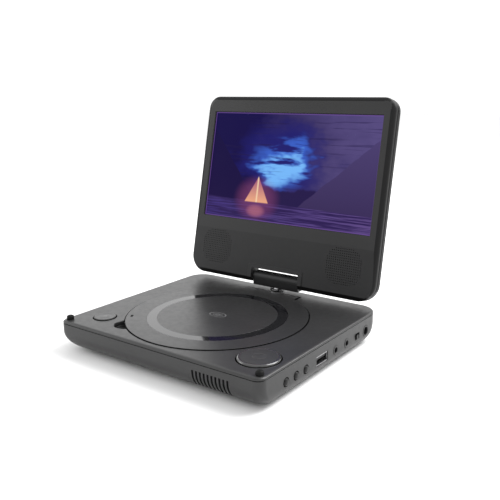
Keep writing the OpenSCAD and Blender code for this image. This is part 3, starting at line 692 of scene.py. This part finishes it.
FEET = [(-62, -52), (66, -52), (-62, 54), (66, 54)]
POSTS = [(sx * 76, sy * 64) for sx in (-1, 1) for sy in (-1, 1)]
FOOT_R, POST_R, SCREW_R = 5, 4.2, 2.9
FOOT_TOP = FOOT + 0.6
foot_recess = [(FOOT_R + 0.15, FOOT - 1), (FOOT_R + 0.15, FOOT_TOP)]
screw_recess = [(SCREW_R, FOOT - 1), (SCREW_R, FOOT + 5.5)]
floor_cuts = [lathe(foot_recess, p, 48) for p in FEET]
floor_cuts += [lathe(screw_recess, p, 40) for p in POSTS]
post = [(POST_R, FOOT + 2.6), (POST_R, SEAM - 2.4)]
bm = add(bm, joined([lathe(post, p, 40) for p in POSTS]))
for group in (vents, side_holes, floor_cuts):
    bm = cut(bm, *group)
tub = finish("base_tub", bm, BASE, "base", CASE, 28)
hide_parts("bottom_case")

# ---------------------------------------------------------------- base: cover with its openings
ROUND_DISC = (DISC.x, DISC.y)
FINGER_TURN, FINGER_REACH, FINGER_R = math.radians(231), 63.2, 8.6  # finger notch at the lid
finger_at = (DISC.x + FINGER_REACH * math.cos(FINGER_TURN),
             DISC.y + FINGER_REACH * math.sin(FINGER_TURN))
OPEN_TURN = math.degrees(math.atan2(OPEN.y - DISC.y, OPEN.x - DISC.x))
TAB = middle("disc_lid_pins")
TAB_HALF = 24.5  # half width of the lid's hinge tab
TAB_OPEN = TAB_HALF + 0.6
UNDER = SEAM - 1  # where the cover's openings start, below the cover
OVER = SEAM + 1  # where the well's openings end, above the well


def toward_button(bm, reach):
    """Shift a shape out from the disc's middle, towards the release button."""
    return moved(moved(bm, reach), DISC.x, DISC.y, 0, OPEN_TURN)


levels = [(0.9, SEAM), (0.9, SEAM + 0.26), (0.1, SEAM + 0.28), (0.02, SEAM + 0.36)]
levels += round_over(2.5, TOP, 1.2)
bm = slab(HALF_W, HALF_W, HALF_D, HALF_D, CORNER, levels, 12)
tab_levels = [(0, UNDER), (0, TOP - 0.3), (-0.3, TOP), (-0.3, TOP + 1)]
OPEN_GAP, NAV_GAP, BUSH_HOLE_R = 0.5, 0.75, 3.62
for opening in (
    hole(DISC_R + GAP, UNDER, TOP, 0.18, ROUND_DISC, 160),
    moved(slab(TAB_OPEN, TAB_OPEN, 6.7, 6.7, 1.2, tab_levels, 5), TAB.x, 56.7),
    hole(FINGER_R, UNDER, TOP, 0.7, finger_at, 64),
    hole(OPEN_R + OPEN_GAP, UNDER, TOP, 0.1, (OPEN.x, OPEN.y), 72),
    hole(NAV_R + NAV_GAP, UNDER, TOP, 0.1, (NAV.x, NAV.y), 96),
    hole(BUSH_HOLE_R, UNDER, TOP, 0.2, (0, HINGE_Y), 48),
):
    bm = cut(bm, opening)
cover = finish("base_cover", bm, BASE, "base", CASE, 28)
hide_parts("top_cover")

DISH = 13.5  # upper face of the well's floor
STEP = 14.7  # foot of the wall under the lid's edge
LEDGE = 19.8  # where the lid's edge rests
BRIM = SEAM - 0.02  # the well's top, just below the cover
CUP_R, FLANGE_R, FLANGE = 63.3, 67, 17.8
SPINDLE_OPENING_R = 16
profile = [(FLANGE_R, BRIM), (FLANGE_R, FLANGE), (CUP_R, FLANGE), (CUP_R, WELL_FLOOR),
           (SPINDLE_OPENING_R, WELL_FLOOR), (SPINDLE_OPENING_R, DISH - 0.3),
           (SPINDLE_OPENING_R + 0.3, DISH), (LEDGE_R - 1.2, DISH), (LEDGE_R - 0.35, DISH + 0.35),
           (LEDGE_R, STEP), (LEDGE_R, LEDGE - 0.3), (LEDGE_R + 0.3, LEDGE), (65, LEDGE),
           (65.3, BRIM)]
bm = lathe(profile, ROUND_DISC, 144, closed=True)
cup_r, bed_half = FINGER_R + 1.6, TAB_HALF + 5
bm = add(bm, lathe([(cup_r, 15), (cup_r, SEAM - 0.05)], finger_at, 48))
bm = add(bm, box((TAB.x - bed_half, 55.5, 15.2), (TAB.x + bed_half, 65, SEAM - 0.05), 0.5))
scoop = [(0.4, 16.6), (5.8, 16.7), (7.8, 17.6), (FINGER_R, 19.0), (FINGER_R, OVER)]
for opening in (
    lathe(scoop, finger_at, 64),
    lathe([(LEDGE_R, STEP), (LEDGE_R, 18)], ROUND_DISC, 144),
    moved(slab(58.5, 0, 17, 17, 3, [(0, 11), (0, 18)], 6), DISC.x, DISC.y),  # laser sled
    toward_button(slab(0, 8, 4.3, 4.3, 0.3, [(0, 14.2), (0, OVER)], 3), 60),  # latch
    moved(slab(TAB_OPEN, TAB_OPEN, 13.4, 0, 0.8, [(0, 16.8), (0, OVER)], 4), TAB.x, 63.4),
):
    bm = cut(bm, opening)
# the well carries painted shade: a plastic darker than the case
finish("disc_well", bm, BASE, "base", SHADED_WELL, 28)

# ---------------------------------------------------------------- disc lid
RING_OUT, RING_IN = half_width("disc_lid_ring"), 42.4
LID_R = DISC_R - 0.2
LID_Z = corners("disc_lid_ring")[1].z - 0.05
LID_UNDER = TOP - 1.9
RING_SEAT = LID_Z - 0.6

rim = [(LID_R - 0.3, LID_UNDER), (LID_R, LID_UNDER + 0.3), (LID_R, LID_Z - 0.3),
       (LID_R - 0.1, LID_Z - 0.1), (LID_R - 0.3, LID_Z)]
groove = [(RING_OUT + 0.1, LID_Z), (RING_OUT + 0.06, LID_Z - 0.04), (RING_OUT + 0.06, RING_SEAT),
          (RING_IN - 0.06, RING_SEAT), (RING_IN - 0.06, LID_Z - 0.04), (RING_IN - 0.1, LID_Z)]
profile = [(ON_AXIS, LID_UNDER), (58, LID_UNDER)] + rim + groove + [(ON_AXIS, LID_Z)]
bm = lathe(profile, ROUND_DISC, 160)
levels = [(0.3, LID_UNDER), (0, LID_UNDER + 0.3), (0, LID_Z - 0.3), (0.3, LID_Z)]
bm = add(bm, moved(slab(TAB_HALF, TAB_HALF, 8.5, 7.7, 1.2, levels, 6), TAB.x, 53.5))
PIN_Y, PIN_HOLE_R = 60, 1.06
KNUCKLE_R, KNUCKLE_HALF = 2.2, 3
for s in (-1, 1):
    x = TAB.x + s * (TAB_HALF - KNUCKLE_HALF)
    knuckle = [(KNUCKLE_R - 0.3, x - KNUCKLE_HALF), (KNUCKLE_R, x - KNUCKLE_HALF + 0.3),
               (KNUCKLE_R, x + KNUCKLE_HALF - 0.3), (KNUCKLE_R - 0.3, x + KNUCKLE_HALF)]
    bm = add(bm, lathe(knuckle, (PIN_Y, TAB.z), 40, axis="x"))
    pin_hole = [(PIN_HOLE_R, x - KNUCKLE_HALF - 1), (PIN_HOLE_R, x + KNUCKLE_HALF + 1)]
    bm = cut(bm, lathe(pin_hole, (PIN_Y, TAB.z), 24, axis="x"))
catch = slab(0, 1.4, 3, 3, 0.3, [(0.2, TOP - 6.6), (0, TOP - 6.3), (0, LID_UNDER + 0.2)], 3)
bm = add(bm, toward_button(catch, 61.9))
levels = [(0, LID_Z - 0.35), (0, LID_Z - 0.08), (-0.12, LID_Z + 0.5)]
bm = cut(bm, toward_button(slab(0.9, 0.9, 2.1, 2.1, 0.5, levels, 4), 60.4))  # small dent
lid = finish("disc_lid_shell", bm, BASE, "disc_lid", LID, 28)
# painted shade: the lid's edge and underside are near black, so the gap round the lid reads as a
# dark line
paint(lid, BASE, [(SHADE, lambda at: at.z < LID_Z - 0.2)])
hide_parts("disc_lid")

profile = [(RING_IN, RING_SEAT), (RING_OUT, RING_SEAT), (RING_OUT, LID_Z - 0.02),
           (RING_OUT - 0.03, LID_Z), (RING_IN + 0.03, LID_Z), (RING_IN, LID_Z - 0.02)]
bm = lathe(profile, ROUND_DISC, 192, closed=True)
ring = finish("gloss_ring", bm, BASE, "disc_lid", BLACK, 40)
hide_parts("disc_lid_ring")


def oval(r_in, r_out, n):
    """Thin flat oval ring on the middle of the lid."""
    low, high = LID_Z - 0.1, LID_Z + 0.03
    bm = lathe([(r_in, low), (r_out, low), (r_out, high), (r_in, high)], (0, 0), n, True)
    bm.transform(Matrix.Diagonal((1, OVAL_SQUASH, 1, 1)))
    return moved(bm, DISC.x, DISC.y)


OVAL_SQUASH = 0.62
ovals = joined([oval(6.2, 6.9, 72), oval(1.3, 2.1, 48), oval(3.4, 3.8, 48)])
finish("disc_sign", ovals, BASE, "disc_lid", MARK, 40)

# ---------------------------------------------------------------- release button and its spring
r, h = OPEN_R - 0.25, corners("open_button")[1].z
KEY_UNDER = 19
profile = [(ON_AXIS, KEY_UNDER), (r - 0.3, KEY_UNDER), (r, KEY_UNDER + 0.3), (r, h - 0.5),
           (r - 0.1, h - 0.25), (r - 0.4, h - 0.06), (r - 0.9, h), (r - 1.6, h - 0.12),
           (r - 4, h - 0.05), (ON_AXIS, h - 0.02)]
bm = lathe(profile, (OPEN.x, OPEN.y), 72)
key = finish("release_button", bm, BASE, "open_button", BUTTON)
# painted shade: the button's flank is near black, darkening the ring round it
paint(key, BASE, [(SHADE, lambda at: at.z < h - 0.42)])
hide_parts("open_button")

WIRE, WIRE_SIDES, TURNS, TURN_STEPS = 0.35, 8, 5, 24
spring_at = middle("open_button_spring")
spring_lo, spring_hi = corners("open_button_spring")
coil_r = half_width("open_button_spring") - WIRE
first_z = spring_lo.z + 1.2 * WIRE
rise = spring_hi.z - spring_lo.z - 2.4 * WIRE
rings = []
for i in range(TURNS * TURN_STEPS + 1):
    a = 2 * math.pi * i / TURN_STEPS
    z = first_z + rise * i / (TURNS * TURN_STEPS)
    section = [(coil_r + p, q) for p, q in arc(0, 0, WIRE, WIRE, 0, 360, WIRE_SIDES)[:-1]]
    rings.append([(spring_at.x + out * math.cos(a), spring_at.y + out * math.sin(a), z + up)
                  for out, up in section])
coil = finish("button_spring", loft(rings), BASE, "base", BRIGHT, 60)
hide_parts("open_button_spring")
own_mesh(coil)

wedge = [(-2.3, -0.3), (2.3, -0.3), (0, 2.2)]
bar = [(-2.3, -1.6), (2.3, -1.6), (2.3, -0.9), (-2.3, -0.9)]
low, high = h - 0.12, h + 0.01
sign = [loft([[(OPEN.x + x, OPEN.y + y, z) for x, y in shape] for z in (low, high)])
        for shape in (wedge, bar)]
finish("eject_sign", joined(sign), BASE, "open_button", MARK, 40)

# ---------------------------------------------------------------- navigation pad
r, h = NAV_R, corners("nav_pad")[1].z
profile = [(ON_AXIS, 18.9), (r - 0.4, 18.9), (r, 19.3), (r, TOP + 0.05)]
profile += arc(r - 1.3, TOP + 0.05, 1.3, 1.25, 10, 80, 6)
profile += [(r - 1.75, TOP + 1.28), (r - 2.1, TOP + 1.18), (r - 2.5, TOP + 1.22),
            (r - 6.5, h - 0.05), (4.6, h), (4.2, h - 0.18), (3.8, h), (ON_AXIS, h)]
bm = lathe(profile, (NAV.x, NAV.y), 96)
pad = finish("navigation_pad", bm, BASE, "nav_pad", PAD)
# painted shade: the pad's part below the cover's face is near black
paint(pad, BASE, [
    (SHADE, lambda at: at.z < TOP),
    (PAD_RIM, lambda at: math.hypot(at.x - NAV.x, at.y - NAV.y) > r - 1.9),
])
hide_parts("nav_pad")

# ---------------------------------------------------------------- bumpers, feet, side buttons
BUMPER_R = 2.6
bumper_lo, bumper_hi = corners("lid_bumpers")
profile = [(ON_AXIS, TOP - 0.2), (BUMPER_R - 0.25, TOP - 0.2), (BUMPER_R, TOP + 0.2),
           (BUMPER_R - 0.1, TOP + 1.6)]
profile += arc(0, TOP + 1.6, BUMPER_R - 0.1, 1.4, 12, 84, 6) + [(ON_AXIS, TOP + 3)]
bumper_y = bumper_lo.y - BASE_Y + BUMPER_R
pair = [lathe(profile, (s * (bumper_hi.x - BUMPER_R), bumper_y), 40) for s in (-1, 1)]
bumpers = finish("bumper_pair", joined(pair), BASE, "base", RUBBER, 40)
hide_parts("lid_bumpers")

profile = [(ON_AXIS, 0), (FOOT_R - 0.7, 0), (FOOT_R - 0.2, 0.15), (FOOT_R, 0.5),
           (FOOT_R, FOOT_TOP), (ON_AXIS, FOOT_TOP)]
bm = joined([lathe(profile, p, 48) for p in FEET])
feet = finish("foot_set", bm, BASE, "base", RUBBER, 40)
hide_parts("rubber_feet")

KEY_R, KEY_FLANGE_R = 2.6, 3.5
for k in SIDE_BUTTONS:
    node = "side_button_%d" % k
    out = corners(node)[1].x
    profile = [(ON_AXIS, out - 8.9), (KEY_R, out - 8.9), (KEY_R, out - 4.5),
               (KEY_FLANGE_R, out - 4.5), (KEY_FLANGE_R, out - 3.2), (KEY_R, out - 3.2),
               (KEY_R - 0.2, out - 1.0)]
    profile += arc(0, out - 1.0, KEY_R - 0.2, 1.0, 12, 84, 6) + [(ON_AXIS, out)]
    bm = lathe(profile, (middle(node).y, SOCKET_Z), 48, axis="x")
    key = finish("push_button_%d" % k, bm, BASE, node, SIDE)
    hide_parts(node)

# ---------------------------------------------------------------- round sockets


def jack(node, name, face_r, bore_r, half_w, depth, proud):
    """Moulded jack: block behind the wall, round face just proud of it and a deep dark bore."""
    lo, hi = corners(node)
    y = middle(node).y
    front = HALF_W + proud
    face = [(ON_AXIS, HALF_W - 3), (face_r, HALF_W - 3), (face_r, front - 0.15),
            (face_r - 0.15, front), (ON_AXIS, front)]
    bm = lathe(face, (y, SOCKET_Z), 48, axis="x")
    block = box((HALF_W - 14, y - half_w, lo.z), (HALF_W - 2.1, y + half_w, hi.z), 0.4)
    bm = add(bm, block)
    bore = [(bore_r, HALF_W - depth), (bore_r, front - 0.3), (bore_r + 0.3, front),
            (bore_r + 0.3, front + 1)]
    bm = cut(bm, lathe(bore, (y, SOCKET_Z), 40, axis="x"))
    piece = finish(name, bm, BASE, "base", INNER)
    paint(piece, BASE, [(CASE, lambda at: at.x > HALF_W - 1 and
                         math.hypot(at.y - y, at.z - SOCKET_Z) > bore_r + 0.1)])
    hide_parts(node)


for node, spec in JACKS.items():
    jack(node, *spec)

# ---------------------------------------------------------------- hinge housing
HOUSING_HALF, BARREL_R, SKIRT = 21.2, 3.6, 7.0
RIB_HALF = 20.4
SHAFT_HOLE_R, POST_HOLE_R = 1.82, 2.65


def across(points, half):
    """Prism along x, from an outline of (y, z) points."""
    return loft([[(x, y, z) for y, z in points] for x in (-half, half)])


def housing_ring(x, grow):
    r = BARREL_R - grow
    pts = arc(0, 0, r, r, -20, 200, 20)
    pts += [(-r, -4), (-3.45 + grow, -6.5 + grow), (-3.0 + grow, -SKIRT + grow),
            (3.0 - grow, -SKIRT + grow), (3.45 - grow, -6.5 + grow), (r, -4)]
    return [(x, HINGE_Y + a, HINGE_Z + b) for a, b in pts]


END_LEVELS = [(0, 0.4), (0.15, 0.12), (0.4, 0)]  # (in from the end, smaller by)
rings = [housing_ring(d - HOUSING_HALF, g) for d, g in END_LEVELS]
rings += [housing_ring(HOUSING_HALF - d, g) for d, g in reversed(END_LEVELS)]
bm = loft(rings)
rib = [(1.2, 1.0), (3.35, 1.0), (3.35, 3.5), (3.0, 3.85), (1.7, 3.85), (1.2, 3.5)]
bm = add(bm, across([(HINGE_Y + a, HINGE_Z + b) for a, b in rib], RIB_HALF))
post_hole = [(POST_HOLE_R, HINGE_Z - 9), (POST_HOLE_R, HINGE_Z - 2.4)]
bm = cut(bm, lathe(post_hole, (0, HINGE_Y), 40))
for ends in ((-30, -12), (12, 30)):
    shaft_hole = [(SHAFT_HOLE_R, x) for x in ends]
    bm = cut(bm, lathe(shaft_hole, (HINGE_Y, HINGE_Z), 40, axis="x"))
housing = finish("hinge_barrel", bm, BASE, "swivel", SHADED_HINGE)
# painted shade on the housing: darker plastic overall and the rib's top near black; only the
# barrel's upper front band keeps the screen plastic
paint(housing, BASE, [
    (SHADE, lambda at: at.y > HINGE_Y + 1.15 and at.z > HINGE_Z + 1),
    (SCREEN_CASE, lambda at: at.z > HINGE_Z - 1.6 and at.y < HINGE_Y + 1.25
     and abs(at.x) < HOUSING_HALF - 0.05),
])
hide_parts("hinge_housing")

# ---------------------------------------------------------------- screen, from its hinge axis
BELOW, ABOVE = 5.0, 144.0
FACE, BACK = -5.85, 6.05  # along y
SEAM_Y = FACE + 5
SKIN = 1.8
SCREEN_R = (14.0, 10.0)  # radius of the lower and the upper corners
VIEW_W, VIEW_H, VIEW_Z = 155.0, 87.2, 87.0  # the picture and its middle's height
VIEW_LOW, VIEW_HIGH = VIEW_Z - VIEW_H / 2, VIEW_Z + VIEW_H / 2
NOTCH, NOTCH_TOP = 22.0, 6.0  # half width and top of the hinge's notch
FRAME_W, FRAME_LOW = 3.4, -BELOW - 6  # thin frame round the notch
SPEAKER_TOP, BEVEL_TOP = 33.2, -1.8  # the face leans back below these, more below the second
BEVEL_END = -BELOW - 0.6
SCREEN_POSTS = [(sx * 76, 138) for sx in (-1, 1)] + [(sx * 76.5, 2.2) for sx in (-1, 1)]


def screen_slab(levels):
    return slab(HALF_W, HALF_W, BELOW, ABOVE, SCREEN_R, levels, 12, "xz")


def window(half_w, low_z, high_z, levels, radius=0.8):
    """Loft through the screen's thickness of a rounded rectangle, at (grow, y) levels."""
    rings = []
    for grow, y in levels:
        pts = outline(half_w + grow, half_w + grow, grow - low_z, high_z + grow, radius, 5)
        rings.append([(x, y, z) for x, z in pts])
    return loft(rings)


def near_edge(at, width):
    """Whether a point lies within a border of the screen's front or back."""
    return abs(at.x) > HALF_W - width or not width - BELOW < at.z < ABOVE - width


bm = screen_slab([(0.25, SEAM_Y), (0, SEAM_Y - 0.25)] + round_over(4.2, FACE, -2.8))
bm = cut(bm, screen_slab([(SKIN, FACE + SKIN), (SKIN, SEAM_Y + 1)]))
levels = [(0, FACE + 3), (0, FACE + 0.7), (0.45, FACE - 0.01), (0.45, FACE - 1)]
bm = cut(bm, window(VIEW_W / 2, VIEW_LOW, VIEW_HIGH, levels, 0.5))
slopes = [(FACE, SPEAKER_TOP), (FACE + 0.8, BEVEL_TOP), (FACE + 2.9, BEVEL_END),
          (FACE - 2, BEVEL_END), (FACE - 2, SPEAKER_TOP)]
bm = cut(bm, across(slopes, HALF_W + 1))
levels = [(0, SEAM_Y + 2), (0, FACE + 0.35), (0.35, FACE - 0.01), (0.35, FACE - 2)]
bm = cut(bm, window(NOTCH, -BELOW - 4, NOTCH_TOP, levels))

rings = []
for grow, y in ((0.0, FACE + 1.5), (0.0, FACE + 0.32), (0.25, FACE + 0.12)):
    half_w = NOTCH + FRAME_W - grow
    pts = outline(half_w, half_w, -FRAME_LOW, NOTCH_TOP + FRAME_W - grow, 1.6, 5)
    rings.append([(x, y, z) for x, z in pts])
levels = [(0, FACE + 3), (0, FACE + 0.3), (0.3, FACE - 1)]
below_bevel = [(FACE - 3, FRAME_LOW - 2), (FACE + 3, FRAME_LOW - 2), (FACE + 3, BEVEL_TOP),
               (FACE - 3, BEVEL_TOP)]
raised = cut(loft(rings), window(NOTCH, -BELOW - 9, NOTCH_TOP, levels), across(below_bevel, 40))
bm = add(bm, raised)

GRILLE_X, GRILLE_Z = 59.5, 18.5
GRILLE_PITCH, GRILLE_COLUMNS, GRILLE_ROWS, GRILLE_HOLE_R = 1.75, 17, 16, 0.40
GRILLE_SHAPE = 0.055  # limit of the fourth powers' sum: a square with very round corners
through = [(GRILLE_HOLE_R, FACE - 1), (GRILLE_HOLE_R, FACE + 3)]
holes = []
for s in (-1, 1):
    for i in range(GRILLE_COLUMNS):
        for j in range(GRILLE_ROWS):
            dx = (i - (GRILLE_COLUMNS - 1) / 2) / GRILLE_COLUMNS
            dz = (j - (GRILLE_ROWS - 1) / 2) / GRILLE_ROWS
            if dx**4 + dz**4 > GRILLE_SHAPE:
                continue
            at = (s * GRILLE_X + dx * GRILLE_COLUMNS * GRILLE_PITCH,
                  GRILLE_Z + dz * GRILLE_ROWS * GRILLE_PITCH)
            holes.append(lathe(through, at, 6, axis="y"))
bm = cut(bm, *holes)
bezel = finish("screen_front", bm, SCREEN, "screen", SCREEN_CASE, 25)


def on_rim(at):
    return at.y < SEAM_Y - 0.4 and near_edge(at, 3.2)


# painted shade: the band round the screen's edges is a darker plastic, and near black where it
# faces down below the bevel
paint(bezel, SCREEN, [
    (SHADE, lambda at: on_rim(at) and at.z < BEVEL_TOP),
    (SHADED_RIM, on_rim),
    (SPEAKER, lambda at: at.z < SPEAKER_TOP),
])
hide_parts("screen_bezel")

levels = [(0.95, SEAM_Y), (0.95, SEAM_Y + 0.75), (0.3, SEAM_Y + 0.95), (0.05, SEAM_Y + 1.25)]
bm = screen_slab(levels + round_over(3.2, BACK, 2.8, 9))
bm = cut(bm, screen_slab([(SKIN + 0.95, SEAM_Y - 1), (SKIN + 0.95, BACK - SKIN)]))
CHEEK_W = NOTCH + SKIN  # walls beside the notch, which hold the hinge shafts
cheeks = slab(CHEEK_W, CHEEK_W, 3.1, 7.8, 0.3, [(0, FACE + 1.85), (0, BACK - 1)], 3, "xz")
bm = add(bm, cheeks)
levels = [(1.6, BACK + 2), (1.6, BACK), (0, BACK - 1.6), (0, FACE - 1)]
bm = cut(bm, window(NOTCH, -BELOW - 4, NOTCH_TOP, levels))
SCREEN_POST_R, THREAD_R, HEAD_R, HEAD_DEPTH, SHAFT_R = 3.6, 1.3, 2.5, 1.6, 1.9
post = [(SCREEN_POST_R, 2.9), (SCREEN_POST_R, BACK - 1)]
for at in SCREEN_POSTS:
    bm = add(bm, lathe(post, at, 32, axis="y"))
screw_hole = [(THREAD_R, 2), (THREAD_R, BACK - HEAD_DEPTH), (HEAD_R, BACK - HEAD_DEPTH),
              (HEAD_R, BACK + 2)]
bm = cut(bm, *[lathe(screw_hole, at, 32, axis="y") for at in SCREEN_POSTS])
bm = cut(bm, lathe([(SHAFT_R, -30), (SHAFT_R, 30)], (0, 0), 32, axis="x"))
shell = finish("screen_back", bm, SCREEN, "screen", SCREEN_CASE, 25)
# painted shade: the band round the back's edges is the darker rim plastic
paint(shell, SCREEN, [(SHADED_RIM, lambda at: at.y < BACK - 2.6 and near_edge(at, 1.2))])
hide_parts("screen_back_cover")

PANEL_HALF, PANEL_LOW, PANEL_HIGH = 82, 38, 135.6
levels = [(0, FACE + 1.9), (0, FACE + 3.2)]
panel = slab(PANEL_HALF, PANEL_HALF, -PANEL_LOW, PANEL_HIGH, 0.8, levels, 4, "xz")
display = finish("display_panel", panel, SCREEN, "screen", PICTURE)
to_screen = SCREEN.inverted()
layer = display.data.uv_layers.new(name="picture")
for loop in display.data.loops:
    p = to_screen @ display.data.vertices[loop.vertex_index].co
    layer.data[loop.index].uv = ((p.x + VIEW_W / 2) / VIEW_W, (p.z - VIEW_LOW) / VIEW_H)
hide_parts("lcd_panel")

# ---------------------------------------------------------------- kept CAD nodes: softened edges
SOFT_EDGE = 0.00012  # metres
for name in ("usb_shell", "usb_tongue", "power_slider", "power_switch_body", "swivel_post",
             "swivel_bush", "case_screws", "screen_screws", "spindle_hub", "laser_sled",
             "drive_deck", "spindle_motor", "sled_motor"):
    soften = frame["nodes"][name].modifiers.new("soften", "BEVEL")
    soften.width = SOFT_EDGE
    soften.segments = 2
    soften.limit_method = "ANGLE"
    soften.angle_limit = math.radians(40)

# ---------------------------------------------------------------- floor, light, camera
FLOOR_HALF = 4  # metres
bm = bmesh.new()
bmesh.ops.create_grid(bm, x_segments=1, y_segments=1, size=FLOOR_HALF)
mesh = bpy.data.meshes.new("floor")
bm.to_mesh(mesh)
bm.free()
floor = bpy.data.objects.new("floor", mesh)
bpy.context.scene.collection.objects.link(floor)
paper = Nodes("floor_paper")
paper.set(Base_Color=paper.mix(paper.noise(3), (0.86, 0.86, 0.86), (0.88, 0.88, 0.88)))
paper.set(Roughness=0.9)
mesh.materials.append(paper.mat)

world = bpy.data.worlds.new("studio")
bpy.context.scene.world = world
world.use_nodes = True
background = world.node_tree.nodes["Background"]
background.inputs["Color"].default_value = (1, 1, 1, 1)
background.inputs["Strength"].default_value = 1.15


def softbox(name, at, aim, size, power):
    """Area lamp of a size in metres and a power in watts, turned to a point."""
    light = bpy.data.lights.new(name, "AREA")
    light.shape = "RECTANGLE"
    light.size, light.size_y = size
    light.energy = power
    lamp = bpy.data.objects.new(name, light)
    lamp.location = at
    lamp.rotation_mode = "QUATERNION"
    lamp.rotation_quaternion = (Vector(aim) - Vector(at)).to_track_quat("-Z", "Y")
    bpy.context.scene.collection.objects.link(lamp)


softbox("key", (0.42, 0.5, 0.85), (0, 0, 0.02), (0.7, 0.7), 14)
softbox("back", (-0.95, 1.05, 0.5), (0, 0, 0.05), (1.1, 0.7), 1.5)
softbox("side", (-1.1, -0.45, 0.5), (0, 0, 0.05), (0.6, 0.6), 3)

# fitted to the edges of the base and of the screen in the photograph
AZIMUTH, ELEVATION, ROLL = math.radians(35.41), math.radians(10.73), math.radians(-0.34)
LENS_MM, SENSOR_MM, SHIFT = 48.06, 36, (-0.0264, -0.0721)
CAMERA_AT = (0.2865, -0.3533 + BASE_Y * MM, 0.1581 + TOP * MM)
camera_data = bpy.data.cameras.new("camera")
camera_data.sensor_width, camera_data.lens = SENSOR_MM, LENS_MM
camera_data.shift_x, camera_data.shift_y = SHIFT
camera_data.clip_start, camera_data.clip_end = 0.01, 50
camera = bpy.data.objects.new("camera", camera_data)
bpy.context.scene.collection.objects.link(camera)
away = Vector((math.sin(AZIMUTH) * math.cos(ELEVATION),
               -math.cos(AZIMUTH) * math.cos(ELEVATION), math.sin(ELEVATION)))
level_view = (-away).to_track_quat("-Z", "Y")
camera.rotation_mode = "QUATERNION"
camera.rotation_quaternion = level_view @ Matrix.Rotation(ROLL, 4, "Z").to_quaternion()
camera.location = CAMERA_AT
bpy.context.scene.camera = camera
bpy.context.scene.view_settings.view_transform = "Standard"
